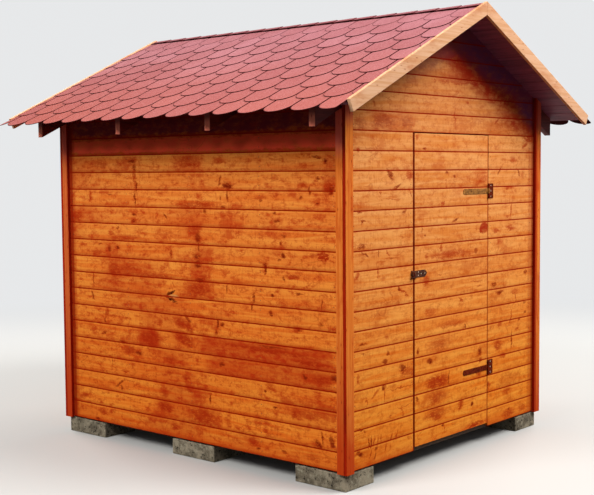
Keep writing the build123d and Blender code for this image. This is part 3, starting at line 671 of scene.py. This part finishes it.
gable_stain = stained_boards(
    "orange_stain_gable", along=0, seed=11.0, hues=front_orange, red=0.62,
    lengths=(
        # Boards 20 to 23, near the apex, are painted shade under the roof overhang; board 17 is stain that
        # soaked in.
        (17, -0.92, -0.42, 0.30), (20, -0.1, 1.2, 0.55), (21, -0.6, 1.2, 0.85),
        (22, -0.6, 1.2, 0.95), (23, -0.6, 1.2, 0.95),
    ),
    marks=(
        (stain(158, 60, 34), 0.2, (
            (-730, 2122, 110, 44, 70), (-960, 2105, 60, 34, 60), (-500, 2120, 70, 38, 60),
        )),
        (deep_rust, 0.5, (
            (560, 2160, 40, 6, 70, 40), (180, 2270, 12, 9, 65), (-820, 2222, 15, 18, 65),
            (-200, 2385, 10, 9, 60), (40, 2166, 20, 10, 75), (40, 2170, 5, 48, 75),
            (110, 2395, 260, 16, 60),
        )),
        # The last four groups are painted shade under the front of the roof: a broad darker wash high on the
        # gable, a red fringe along its edge, the dark purple under the right slope and a duller patch under
        # the left barge.
        (stain(176, 92, 56), 0.0, ((80, 2290, 1000, 220, 32),)),
        (stain(160, 34, 14), 0.0, ((490, 2500, 800, 215, 95, -20, 30), (900, 2150, 300, 85, 90, -12, 60))),
        (painted_shade_plum, 0.0, ((500, 2605, 740, 172, 98, -20, 40), (1020, 2250, 230, 100, 92, -25, 50))),
        (stain(138, 66, 68), 0.0, ((-120, 2580, 420, 80, 70, 22, 70),)),
    ),
    # Seams: beside the corner trim, stain pooled there with painted shade.
    seams=((1.052, 0.028, 0.65, joint_red),),
)
for node, wood, bare, slot, face in (
    ("left_wall", left_stain, bare_y, "wall_boards", -along_x),
    ("right_wall", right_stain, bare_y, "wall_boards", along_x),
    ("rear_wall", rear_stain, bare_x, "wall_boards", along_y),
    ("front_wall_left", front_left_stain, bare_x, "front_boards", -along_y),
    ("front_wall_right", front_right_stain, bare_x, "front_boards", -along_y),
    ("front_gable", gable_stain, bare_x, "front_boards", -along_y),
):
    clad(node, "lapped_" + node, wood, bare, "shed", face)


# Nails: two round heads in each board at its ends and at the middle studs, driven flush.
# Galvanised, gone brown under the stain.
nail_radius, nail_rise, nailed_courses = 0.0034, 0.0012, 18
nail_steel = Finish("stained_nail", roughness=0.5, gloss=0.4)
nail_steel.shader.inputs["Metallic"].default_value = 0.4
rusty = nail_steel.ramp(nail_steel.cloud(nail_steel.place, 90), 0.4, 0.6)
nail_steel.colour(nail_steel.blend(rusty, stain(120, 78, 52), stain(84, 42, 26)))
rows = [board_start + board_pitch * k + up for k in range(nailed_courses) for up in (0.030, 0.086)]
side_studs = (-1.170, -0.600, 0.0, 0.600, 1.170)
for node, face, side, studs, slot in (
    ("left_wall", -along_x, along_y, side_studs, "wall_boards"),
    ("right_wall", along_x, along_y, side_studs, "wall_boards"),
    ("rear_wall", along_y, along_x, (-1.020, -0.440, 0.440, 1.020), "front_boards"),
    ("front_wall_left", -along_y, along_x, (-1.020, -0.452), "front_boards"),
    ("front_wall_right", -along_y, along_x, (0.474, 1.000), "front_boards"),
):
    skin = max(corner.dot(face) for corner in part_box(node))
    turn = face.to_track_quat("Z", "Y").to_matrix().to_4x4()
    bm = bmesh.new()
    for stud in studs:
        for height in rows:
            place = face * skin + side * (stud + random.uniform(-0.004, 0.004)) + upright * height
            bmesh.ops.create_cone(
                bm, cap_ends=True, segments=8, radius1=nail_radius, radius2=nail_radius * 0.6,
                depth=nail_rise, matrix=Matrix.Translation(place) @ turn,
            )
    show(bm, "nails_" + node, [nail_steel.material], "shed")


# Corner trims: planed boards nailed over the ends of the wall boards.
# Stained like them, redder towards the foot, where the brush was fullest, and darkest on the sawn edges,
# part stain and part painted shade. Their heads, under the eaves, carry painted shade.
def stained_trim(name, along, seed, hues, fade=None, pooled=None, head=None, indoors=None, gloss=0.04):
    """Stained timber with its grain along one axis, in a pale, a golden and a rusty hue.

    It can have a rusty foot (fade, from and to), a dark red band on the right up to pooled, stain pooled
    there with painted shade beside the wall boards, a painted shade hue at its head (from, to and hue) and
    bare wood indoors (two hues)."""
    pale, gold, rust = hues
    inside_x, inside_y, pool_blur = 1.084, 1.234, 0.012
    wood = Timber(name, roughness=0.55, gloss=gloss)
    shift = (seed, seed, seed)
    grain = wood.streaks(
        wood.place, drawn_out(along, 1.8, 70.0), detail=5, rough=0.6, warp=0.5, shift=shift
    )
    blot = wood.streaks(wood.place, drawn_out(along, 3.0, 9.0), detail=5, rough=0.68, shift=shift)
    apart = wood.split(wood.place)
    tone = wood.blend(wood.ramp(grain, 0.35, 0.68), pale, gold)
    tone = wood.blend(wood.ramp(blot, 0.48, 0.74, 0.0, 0.70), tone, rust)
    if fade:
        level = wood.math("MULTIPLY_ADD", blot, 0.9, wood.math("SUBTRACT", apart[2], 0.45))
        tone = wood.blend(wood.ramp(level, *fade, 0.80, 0.0), tone, rust)
    # head: painted shade, a darker hue towards the top where the eaves and the gable overhang shade the trim.
    if head:
        tone = wood.blend(wood.ramp(apart[2], head[0], head[1], 0.0, 0.85), tone, head[2])
    line = wood.point(
        wood.math("MULTIPLY", apart[along], 2.6),
        wood.math("MULTIPLY_ADD", apart[(along + 1) % 3], 9.0, seed),
        wood.math("MULTIPLY", apart[(along + 2) % 3], 9.0),
    )
    hearts = wood.cells(line, 5.0)
    near = wood.math("MULTIPLY_ADD", wood.cloud(line, 7), 0.12, hearts["Distance"])
    tone = wood.blend(wood.ramp(near, 0.14, 0.34, 0.45, 0.0), tone, rust)
    tone = wood.blend(wood.ramp(near, 0.12, 0.17, 0.80, 0.0), tone, stain(110, 40, 16))
    # pooled: a dark red band on the inner part of the far front trim, stain pooled there with painted shade
    # beside the wall boards.
    if pooled:
        on_right = wood.math("GREATER_THAN", apart[0], 0.0)
        pool = wood.math("MULTIPLY", wood.ramp(apart[0], pooled, pooled + pool_blur, 0.85, 0.0), on_right)
        tone = wood.blend(pool, tone, stain(170, 40, 8))
    if indoors:
        within_x = wood.math("LESS_THAN", wood.math("ABSOLUTE", apart[0]), inside_x)
        within_y = wood.math("LESS_THAN", wood.math("ABSOLUTE", apart[1]), inside_y)
        bare = wood.blend(wood.ramp(grain, 0.35, 0.68), *indoors)
        tone = wood.blend(wood.math("MULTIPLY", within_x, within_y), tone, bare)
    wood.relief(grain, distance=0.0007, strength=0.5)
    return wood.colour(tone)


trim_hues = stain(234, 134, 54), stain(214, 104, 32), stain(186, 44, 10)
far_hues = stain(214, 108, 52), stain(196, 82, 34), trim_hues[2]
# edge_hues: the sawn edges darker and redder, part stain and part painted shade.
edge_hues = stain(172, 36, 6), stain(150, 24, 4), stain(118, 14, 2)
# The heads below are painted shade; the front trim's band up to pooled is stain with painted shade.
trim_stains = [
    stained_trim(
        "orange_stain_front_trim", along=2, seed=2.0, hues=trim_hues, fade=(0.05, 0.75), pooled=1.066,
        head=(2.04, 2.20, stain(206, 84, 70)),
    ),
    stained_trim(
        "orange_stain_side_trim", along=2, seed=4.0, hues=trim_hues, fade=(0.10, 1.15),
        head=(1.88, 2.02, stain(244, 104, 90)),
    ),
    stained_trim(
        "red_stain_far_trim", along=2, seed=8.0, hues=far_hues, fade=(0.10, 1.30),
        head=(1.88, 2.02, stain(216, 84, 70)),
    ),
    stained_trim("red_stain_and_shade_trim_edge", along=2, seed=6.0, hues=edge_hues),
]
front_face, side_face, far_side_face, sawn_edge = range(4)


def front_trim(f):
    """The finish of a face of a trim on the front or the rear."""
    return sawn_edge if abs(f.normal.x) > 0.7 else front_face


def side_trim(f):
    """The finish of a face of a trim on a side."""
    if abs(f.normal.y) > 0.7:
        return sawn_edge
    return far_side_face if f.calc_center_median().y > 0 else side_face


for node, pick in (
    ("trims_front", front_trim), ("trims_rear", front_trim),
    ("trims_left", side_trim), ("trims_right", side_trim),
):
    eased(node, "planed_", trim_stains, "shed", arris=0.002, pick=pick)


# Rafters and ridge board: sawn softwood on edge, cut over the wall plates, their tails left showing.
# Stained dark red-brown under the eaves. The plumb cut ends are painted paler for the light they catch from
# below, with painted shade at their tops.
rafter_hues = stain(112, 42, 38), stain(86, 28, 26), stain(60, 18, 18)
rafter_stain = stained_trim(
    "dark_stain_rafter", along=0, seed=5.0, hues=rafter_hues, indoors=pine_hues[:2], gloss=0.1,
)
painted_light_end_hues = stain(248, 142, 116), stain(230, 118, 92), stain(190, 84, 62)
rafter_end = stained_trim(
    # head: painted shade at the top of each cut end, under the roof boards.
    "painted_light_and_shade_rafter_end", along=2, seed=7.0, hues=painted_light_end_hues, head=(2.125, 2.165, stain(104, 44, 44)), gloss=0.15,
)
past_wall = 1.2


def tail_end(f):
    """1 for a face that is the plumb cut end of a tail."""
    return int(abs(f.normal.x) > 0.98 and abs(f.calc_center_median().x) > past_wall)


for node in ("rafters_front", "rafters_second", "rafters_third", "rafters_rear"):
    eased(node, "sawn_", [rafter_stain, rafter_end], "shed", arris=0.002, pick=tail_end)
eased("ridge_board", "sawn_", [rafter_stain], "shed", arris=0.002)


# Roof boards: lapped boards nailed across the rafters, seen from below at the eaves and gables.
# Stained dark, with painted shade in its hue that makes it near purple under the eaves, and bare indoors.
tilt = math.radians(25.3)
stain_and_shade_deck_hues = stain(136, 62, 86), stain(106, 44, 66), stain(78, 28, 44)
deck_stain = stained_trim(
    "dark_stain_and_shade_deck", along=1, seed=8.0, hues=stain_and_shade_deck_hues,
    indoors=(stain(214, 178, 128), stain(178, 134, 86)), gloss=0.3,
)
for side, node in ((-1, "roof_boards_left"), (1, "roof_boards_right")):
    down = Vector((side * math.cos(tilt), 0, -math.sin(tilt)))
    under = Vector((-side * math.sin(tilt), 0, -math.cos(tilt)))
    bm = merged(node)
    eave = max(v.co.dot(down) for v in bm.verts)
    ridge = min(v.co.dot(down) for v in bm.verts)
    lines = [eave - board_pitch * k for k in range(int((eave - ridge) / board_pitch) + 2)]
    lines.reverse()
    bm = boards(bm, down, lines, under, gap=0.0014, bevel=0.003, tongue=0.005)
    show(bm, "lapped_" + node, [deck_stain], "shed", (node,))


# Shingles: strips of bitumen felt faced with brick-red grit, cut into round-ended tabs. Each course laps
# the one below, half a tab along, and the lowest hangs over the eave on a plain strip. The strips were
# started off the end of the roof and trimmed flush with it, so the end tabs are part tabs.
roof_end = 1.483
tabs_across = 15
tab_width = 2 * roof_end / tabs_across
tab_start = -0.048
tab_tip = 1.636
tab_round = 0.082
arc_steps = 12
sliver = 0.03
course_step = 0.1755
top_course = 0.14
ridge_gap = 0.004
slit = 0.008
slit_taper = 0.06
felt = 0.0035
tip_lift = 0.0012
strip = 2 * course_step + 0.02
starter_width = 0.20
rim_width = 0.006
solid_felt = 0.006

grit = Finish("red_grit", roughness=0.95, gloss=0.08)
speck = grit.cloud(grit.place, 700, detail=2, rough=0.6)
patch = grit.cloud(grit.place, 95, rough=0.7)
shade = grit.cloud(grit.place, 2.6)
tint = grit.add("ShaderNodeAttribute", attribute_name="tab").outputs["Fac"]
rim = grit.add("ShaderNodeAttribute", attribute_name="rim").outputs["Fac"]
apart = grit.split(grit.place)
# Painted sheen: the grit is pinker towards the ridge, where the sky's sheen shows, and redder towards the
# eave.
painted_sheen_fade = grit.ramp(apart[2], 2.12, 2.80, 0.85, 0.0)
far_off = grit.math("MULTIPLY", painted_sheen_fade, grit.ramp(apart[1], -0.3, 1.3, 0.0, 0.75))
tone = grit.blend(grit.ramp(shade, 0.35, 0.65), stain(156, 95, 101), stain(168, 109, 117))
for strength, hue in (
    (painted_sheen_fade, stain(163, 83, 70)),
    (far_off, stain(148, 60, 42)),
    (grit.math("MULTIPLY", tint, 0.42), stain(138, 66, 68)),
    (grit.ramp(patch, 0.50, 0.70, 0.0, 0.40), stain(190, 134, 134)),
    (grit.ramp(patch, 0.48, 0.32, 0.0, 0.34), stain(120, 48, 50)),
    (grit.ramp(speck, 0.52, 0.70, 0.0, 0.40), stain(196, 146, 144)),
    (grit.ramp(speck, 0.46, 0.30, 0.0, 0.45), stain(92, 32, 38)),
    # rim: the dark cut edges of the tabs and ridge pieces, with painted shade along them where they stand off
    # the felt below.
    (rim, stain(66, 2, 6)),
):
    tone = grit.blend(strength, tone, hue)
grit.relief(speck, distance=0.0010, strength=0.5)
grit.colour(tone)
bitumen = Finish("cut_felt_edge", roughness=0.9, gloss=0.03)
bitumen.colour(bitumen.blend(bitumen.cloud(bitumen.place, 300), stain(44, 6, 9), stain(62, 12, 15)))
felt_finishes = [grit.material, bitumen.material]


def felt_mesh():
    """An empty mesh whose faces hold a tint, tab, and whose corners hold rim: a dark cut edge and the painted
    shade line beside it.
    """
    bm = bmesh.new()
    return bm, bm.faces.layers.float.new("tab"), bm.verts.layers.float.new("rim")


def tab_outline(tip, top, middle):
    """A tab round at its tip and slit from the next ones, as places down the slope and along the roof."""
    half = (tab_width - slit) / 2
    full = tab_width / 2 - 0.0002
    ring = []
    for k in range(arc_steps + 1):
        turn = math.pi * (k / arc_steps - 0.5)
        ring.append((tip - tab_round + tab_round * math.cos(turn), middle + half * math.sin(turn)))
    neck = max(tip - course_step + slit, top + slit_taper + 0.005)
    ring += [(neck, middle + half), (neck - slit_taper, middle + full), (top, middle + full)]
    ring += [(top, middle - full), (neck - slit_taper, middle - full), (neck, middle - half)]
    return [(s, min(max(y, -roof_end), roof_end)) for s, y in ring]


random.seed(4)
for side, node in ((-1, "shingles_left"), (1, "shingles_right")):
    down = Vector((side * math.cos(tilt), 0, -math.sin(tilt)))
    up = Vector((side * math.sin(tilt), 0, math.cos(tilt)))
    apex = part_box(node)[1].z - solid_felt / math.cos(tilt)
    bm, tint_layer, cut_edge_and_shade_layer = felt_mesh()

    def lay(outline, rise, rimmed):
        """One flat piece of felt on the slope, thickened upwards; rise is its underside's height."""
        ring = [bm.verts.new(down * s + up * rise(s) + Vector((0, y, apex))) for s, y in outline]
        face = bm.faces.new(ring)
        face.normal_update()
        if face.normal.dot(up) < 0:
            face.normal_flip()
        made = bmesh.ops.extrude_face_region(bm, geom=[face])
        tops = [v for v in made["geom"] if isinstance(v, bmesh.types.BMVert)]
        lids = [f for f in made["geom"] if isinstance(f, bmesh.types.BMFace)]
        bmesh.ops.translate(bm, verts=tops, vec=up * felt)
        sides = {f for v in tops for f in v.link_faces} - set(lids)
        for f in list(sides) + [face]:
            f.material_index = 1
        # A rim 6 mm wide round each tab's top is darkened: the cut edge, and painted shade along it.
        if rimmed:
            bmesh.ops.inset_region(bm, faces=lids, thickness=rim_width, use_even_offset=True)
            inner = {v for f in lids for v in f.verts}
            for v in {v for f in sides for v in f.verts} - inner:
                v[cut_edge_and_shade_layer] = 1.0
        luck = random.random()
        for f in lids:
            f[tint_layer] = luck

    foot = tab_tip - tab_round
    head = foot - starter_width
    starter = [(foot, -roof_end), (foot, roof_end), (head, roof_end), (head, -roof_end)]
    lay(starter, lambda s: 0.0, rimmed=False)
    course = 0
    while tab_tip - course * course_step > top_course:
        tip = tab_tip - course * course_step
        top = max(tip - strip, ridge_gap)

        def rise(s):
            """Two layers of felt below the tip, none at the top edge, and a little lift at the tip."""
            return 2 * felt * (s - top) / strip + tip_lift * max(0.0, (s - tip + course_step) / course_step)

        for i in range(tabs_across + 2):
            left = -roof_end + tab_start + (i - 0.5 * (course % 2)) * tab_width
            if left > roof_end - sliver or left + tab_width < -roof_end + sliver:
                continue
            lay(tab_outline(tip, top, left + tab_width / 2), rise, rimmed=True)
        course += 1
    show(bm, "tabs_" + node, felt_finishes, "shed", (node,))


# Ridge: short pieces of the same felt folded over the top, each lapping the one behind it.
# Their cut edges stand off the shingles and draw a dark line along the ridge, and their legs carry painted
# shade, darkest at the edges.
leg, fold_edge, drop, piece_count, lap = 0.056, 0.024, 0.012, 18, 0.03
flatter, back_sink = 0.80, 0.0075
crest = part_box("ridge_cap")[1].z - 0.0006
step = 2 * roof_end / piece_count
section = (
    (-leg, 0), (fold_edge - leg, 0), (0, 0), (leg - fold_edge, 0), (leg, 0),
    (leg, drop), (0, felt), (-leg, drop),
)
bm, tint_layer, cut_edge_and_shade_layer = felt_mesh()
for i in range(piece_count):
    front = -roof_end + i * step
    back = min(front + 2 * step - lap, roof_end)
    profile = []
    for x, under in section:
        fall = abs(x) * math.tan(tilt) * flatter
        v = bm.verts.new((x, front, crest - fall - under))
        # rim: dark at the cut edges, painted shade over the legs, lightest on the crest.
        v[cut_edge_and_shade_layer] = 1.0 if abs(x) == leg else 0.3 if x else 0.1
        profile.append(v)
    end = bm.faces.new(profile)
    made = bmesh.ops.extrude_face_region(bm, geom=[end])
    moved = [v for v in made["geom"] if isinstance(v, bmesh.types.BMVert)]
    sink = back_sink * (back - front) / (2 * step - lap)
    bmesh.ops.translate(bm, verts=moved, vec=(0, back - front, -sink))
    luck = random.random()
    for f in {f for v in profile + moved for f in v.link_faces}:
        f[tint_layer] = luck
bmesh.ops.recalc_face_normals(bm, faces=bm.faces)
for f in bm.faces:
    f.material_index = 0 if f.normal.z > 0.6 else 1
show(bm, "folded_ridge_strips", felt_finishes, "shed", ("ridge_cap",))


# Barge boards: planed boards on the ends of the roof boards, standing a little above the shingles.
# Pale pine with a thin clear stain, nailed on after the roof was covered.
barge_hues = stain(226, 178, 142), stain(212, 156, 112), stain(194, 122, 80)
barge_stain = stained_trim("pale_stain_barge", along=0, seed=12.0, hues=barge_hues)
for node in ("barge_front_left", "barge_front_right", "barge_rear_left", "barge_rear_right"):
    eased(node, "planed_", [barge_stain], "shed", arris=0.002)


# Door leaf: the same lapped softwood boards as the wall, so that their lines run across it.
# Nailed on three ledges and two braces, which are bare pine like its inner face.
door_stain = stained_boards(
    "orange_stain_door", along=0, seed=21.0, hues=front_orange, red=0.62,
    marks=(
        (deep_rust, 0.5, (
            (-140, 738, 110, 44, 50, 0, 70), (-170, 505, 122, 38, 80, 0, 40),
            (-170, 405, 104, 46, 62, 0, 70), (-180, 302, 96, 38, 72, 0, 60), (110, 322, 30, 28, 70),
            (0, 852, 150, 18, 45), (-250, 950, 52, 30, 40), (112, 1002, 25, 6, 65, -20),
            (340, 1070, 30, 4, 65), (320, 152, 120, 11, 80), (335, 492, 30, 26, 65),
            (350, 1762, 80, 18, 40, 20), (390, 1812, 34, 12, 45), (-100, 1625, 17, 13, 65),
            (0, 1302, 240, 20, 60), (-110, 1350, 11, 24, 55), (-285, 1300, 20, 18, 65),
            (-292, 1152, 32, 32, 65), (-380, 2035, 14, 18, 55), (-75, 1765, 9, 8, 55),
            (-72, 1730, 8, 10, 55), (-140, 1176, 20, 5, 65), (290, 1105, 80, 4, 50),
            (-80, 190, 5, 20, 50),
        )),
        (dark_rust, 0.6, (
            (-246, 642, 30, 15, 90), (-30, 515, 6, 40, 80), (250, 298, 15, 9, 90),
            (-100, 214, 14, 10, 80), (346, 632, 21, 22, 80), (356, 572, 18, 18, 85),
            (-385, 722, 13, 18, 80), (-386, 430, 20, 8, 75, -30), (156, 826, 6, 17, 85),
            (-310, 1965, 17, 8, 80), (-60, 1816, 20, 9, 80), (36, 1791, 16, 10, 80),
            (40, 1516, 32, 8, 85, 15), (-335, 1480, 5, 18, 70), (-300, 1436, 8, 8, 80),
            (290, 1300, 18, 16, 65),
        )),
        (stain(168, 40, 14), 0.0, ((386, 1448, 58, 40, 95, 0, 12),)),
    ),
    # Seams: beside the door's gaps, stain pooled there with painted shade from the gaps.
    seams=(
        (-0.4195, 0.007, 0.95, joint_red, door_head), (0.4375, 0.006, 0.75, stain(184, 72, 26), door_head),
    ),
)
clad("door_boards", "lapped_door_leaf", door_stain, bare_x, "door", -along_y)
for node, wood in (("door_ledges", bare_x), ("door_braces", bare_z)):
    eased(node, "planed_", [wood], "door", arris=0.002)


# Strap hinges, hasp and staple: pressed steel straps rolled round a pin, with plates on the wall.
# The upper strap still shows its yellow zinc. The rest is brown with stain, and the hasp is the darkest.
def plated(name, pale, deep, metallic, roughness):
    """Plated or stained-over steel, patchy where the brush went over it."""
    steel = Finish(name, roughness, gloss=0.1 if metallic else 0.03)
    steel.shader.inputs["Metallic"].default_value = metallic
    patch = steel.cloud(steel.place, 60, detail=4, rough=0.65)
    steel.relief(steel.cloud(steel.place, 380, detail=2), distance=0.0003, strength=0.4)
    return steel.colour(steel.blend(steel.ramp(patch, 0.38, 0.64), pale, deep))


yellow_zinc = plated("yellow_zinc", stain(180, 120, 54), stain(124, 78, 34), metallic=0.25, roughness=0.45)
brown_steel = plated("stained_steel", stain(116, 38, 16), stain(76, 20, 7), metallic=0.0, roughness=0.7)
latch_steel = plated("stained_latch", stain(100, 56, 36), stain(40, 16, 10), metallic=0.1, roughness=0.5)
for node, steel, slot, body in (
    ("hinge_strap_upper", yellow_zinc, "plated_steel", "door"),
    ("hinge_plate_upper", brown_steel, "plated_steel", "shed"),
    ("hinge_strap_lower", brown_steel, "brown_steel", "door"),
    ("hinge_plate_lower", brown_steel, "brown_steel", "shed"),
    ("hasp_leaf", latch_steel, "latch_steel", "door"),
    ("hasp_strap", latch_steel, "latch_steel", "hasp"),
    ("staple", brown_steel, "latch_steel", "shed"),
):
    eased(node, "pressed_", [steel], body, arris=0.0005, segments=1)


# Screws: domed heads with a cross recess, through the straps, the plates, the hasp and the staple.
# Bright zinc where they were put in last, and stained over on the lower strap and the staple.
def screws(name, places, radius, steel, body):
    """Domed heads that face the front, each with two dark bars for its recess."""
    bm = bmesh.new()
    for x, y, z in places:
        dome = bmesh.ops.create_uvsphere(bm, u_segments=12, v_segments=8, radius=radius)["verts"]
        bmesh.ops.scale(bm, verts=dome, vec=(1, 0.45, 1))
        bmesh.ops.translate(bm, verts=dome, vec=(x, y, z))
        for wide, tall in ((1.2, 0.25), (0.25, 1.2)):
            bar = bmesh.ops.create_cube(bm, size=1)["verts"]
            bmesh.ops.scale(bm, verts=bar, vec=(radius * wide, radius * 0.5, radius * tall))
            bmesh.ops.translate(bm, verts=bar, vec=(x, y - radius * 0.28, z))
            for f in {f for v in bar for f in v.link_faces}:
                f.material_index = 1
    show(bm, name, [steel, brown_steel], body)


bright_steel = plated(
    "bright_screw", stain(226, 220, 200), stain(190, 176, 140), metallic=0.8, roughness=0.30
)
hinge_face, hasp_face, staple_face = -1.2536, -1.2526, -1.2521
latch_height = 1.202
for word, height, strap_steel, slot in (
    ("lower", 0.512, brown_steel, "brown_steel"), ("upper", 1.694, yellow_zinc, "plated_steel"),
):
    places = [(x, hinge_face, height) for x in (0.160, 0.230, 0.315, 0.410)]
    screws("screws_strap_" + word, places, radius=0.0042, steel=strap_steel, body="door")
    places = [(0.473, hinge_face, height + up) for up in (-0.036, 0, 0.036)]
    screws("screws_plate_" + word, places, radius=0.0048, steel=bright_steel, body="shed")
hasp_screws = (-0.377, 0.010), (-0.377, -0.010), (-0.345, 0), (-0.307, 0)
places = [(x, hasp_face, latch_height + up) for x, up in hasp_screws]
screws("screws_hasp", places, radius=0.004, steel=bright_steel, body="door")
places = [(-0.447, staple_face, latch_height + up) for up in (0.020, -0.020)]
screws("screws_staple", places, radius=0.0036, steel=brown_steel, body="shed")


# Studio: a pale floor, a weak light all round, and a broad lamp high up on each side of the shed.
# The floor looks pale but throws little light back up, so that the eaves stay as dark as they are outdoors.
haze = (0.80, 0.81, 0.82, 1)
floor_half, haze_near, haze_far = 80, 3.5, 9.0
bm = bmesh.new()
bmesh.ops.create_grid(bm, x_segments=1, y_segments=1, size=floor_half)
mesh = bpy.data.meshes.new("studio_floor")
bm.to_mesh(mesh)
bm.free()
ground = bpy.data.objects.new("studio_floor", mesh)
bpy.context.scene.collection.objects.link(ground)
paint = Finish("floor_paint", roughness=0.95, gloss=0.0)
ray = paint.add("ShaderNodeLightPath").outputs
looked_at = paint.math("MAXIMUM", ray["Is Camera Ray"], ray["Is Glossy Ray"])
looked_at = paint.math("MAXIMUM", looked_at, ray["Is Transmission Ray"])
distant = paint.ramp(paint.length(paint.place), haze_near, haze_far)
paint.join(haze, paint.shader.inputs["Emission Color"])
paint.join(paint.math("MULTIPLY", distant, looked_at), paint.shader.inputs["Emission Strength"])
tone = paint.blend(looked_at, stain(80, 76, 70), stain(190, 190, 188))
paint.colour(paint.blend(distant, tone, (0, 0, 0, 1)))
mesh.materials.append(paint.material)

world = bpy.data.worlds.new("soft_sky")
bpy.context.scene.world = world
world.use_nodes = True
sky = world.node_tree
glow = sky.nodes["Background"]
glow.inputs["Color"].default_value = (0.92, 0.95, 1.0, 1)
glow.inputs["Strength"].default_value = 0.29
seen = sky.nodes.new("ShaderNodeBackground")
seen.inputs["Color"].default_value = haze
pick = sky.nodes.new("ShaderNodeMixShader")
ray = sky.nodes.new("ShaderNodeLightPath")
sky.links.new(ray.outputs["Is Camera Ray"], pick.inputs[0])
sky.links.new(glow.outputs[0], pick.inputs[1])
sky.links.new(seen.outputs[0], pick.inputs[2])
sky.links.new(pick.outputs[0], sky.nodes["World Output"].inputs["Surface"])

daylight = (1.0, 0.98, 0.95)
aim = Vector((0, 0, 1.2))
for name, place, size, power in (
    ("front_lamp", (1.9, -6.7, 8.7), 6.0, 1240), ("left_lamp", (-8.1, 0.0, 7.3), 4.6, 840),
    ("right_lamp", (8.8, 0.0, 6.2), 4.8, 540), ("rear_lamp", (0.0, 8.8, 6.2), 4.8, 600),
):
    light = bpy.data.lights.new(name, "AREA")
    light.shape = "DISK"
    light.size = size
    light.energy = power
    light.color = daylight
    holder = bpy.data.objects.new(name, light)
    holder.location = place
    holder.rotation_euler = (aim - Vector(place)).to_track_quat("-Z", "Y").to_euler()
    bpy.context.scene.collection.objects.link(holder)


# Camera: at eye height off the left front corner, with a long lens.
# Its place and turn were solved from the lines of the boards, the trims, the eaves and the door.
camera = bpy.data.cameras.new("camera")
camera.lens = 67.99
camera.sensor_width = 36
eye = bpy.data.objects.new("camera", camera)
turn, dip, lean = math.radians(49.4546), math.radians(-3.925), math.radians(-0.436)
look = Vector((math.sin(turn) * math.cos(dip), math.cos(turn) * math.cos(dip), math.sin(dip)))
level = Vector((math.cos(turn), -math.sin(turn), 0))
over = level.cross(look)
right = level * math.cos(lean) + over * math.sin(lean)
above = over * math.cos(lean) - level * math.sin(lean)
place = Matrix((right, above, -look)).transposed().to_4x4()
place.translation = (-6.0578, -5.1351, 1.8385)
eye.matrix_world = place
bpy.context.scene.collection.objects.link(eye)
bpy.context.scene.camera = eye
bpy.context.scene.view_settings.view_transform = "Standard"
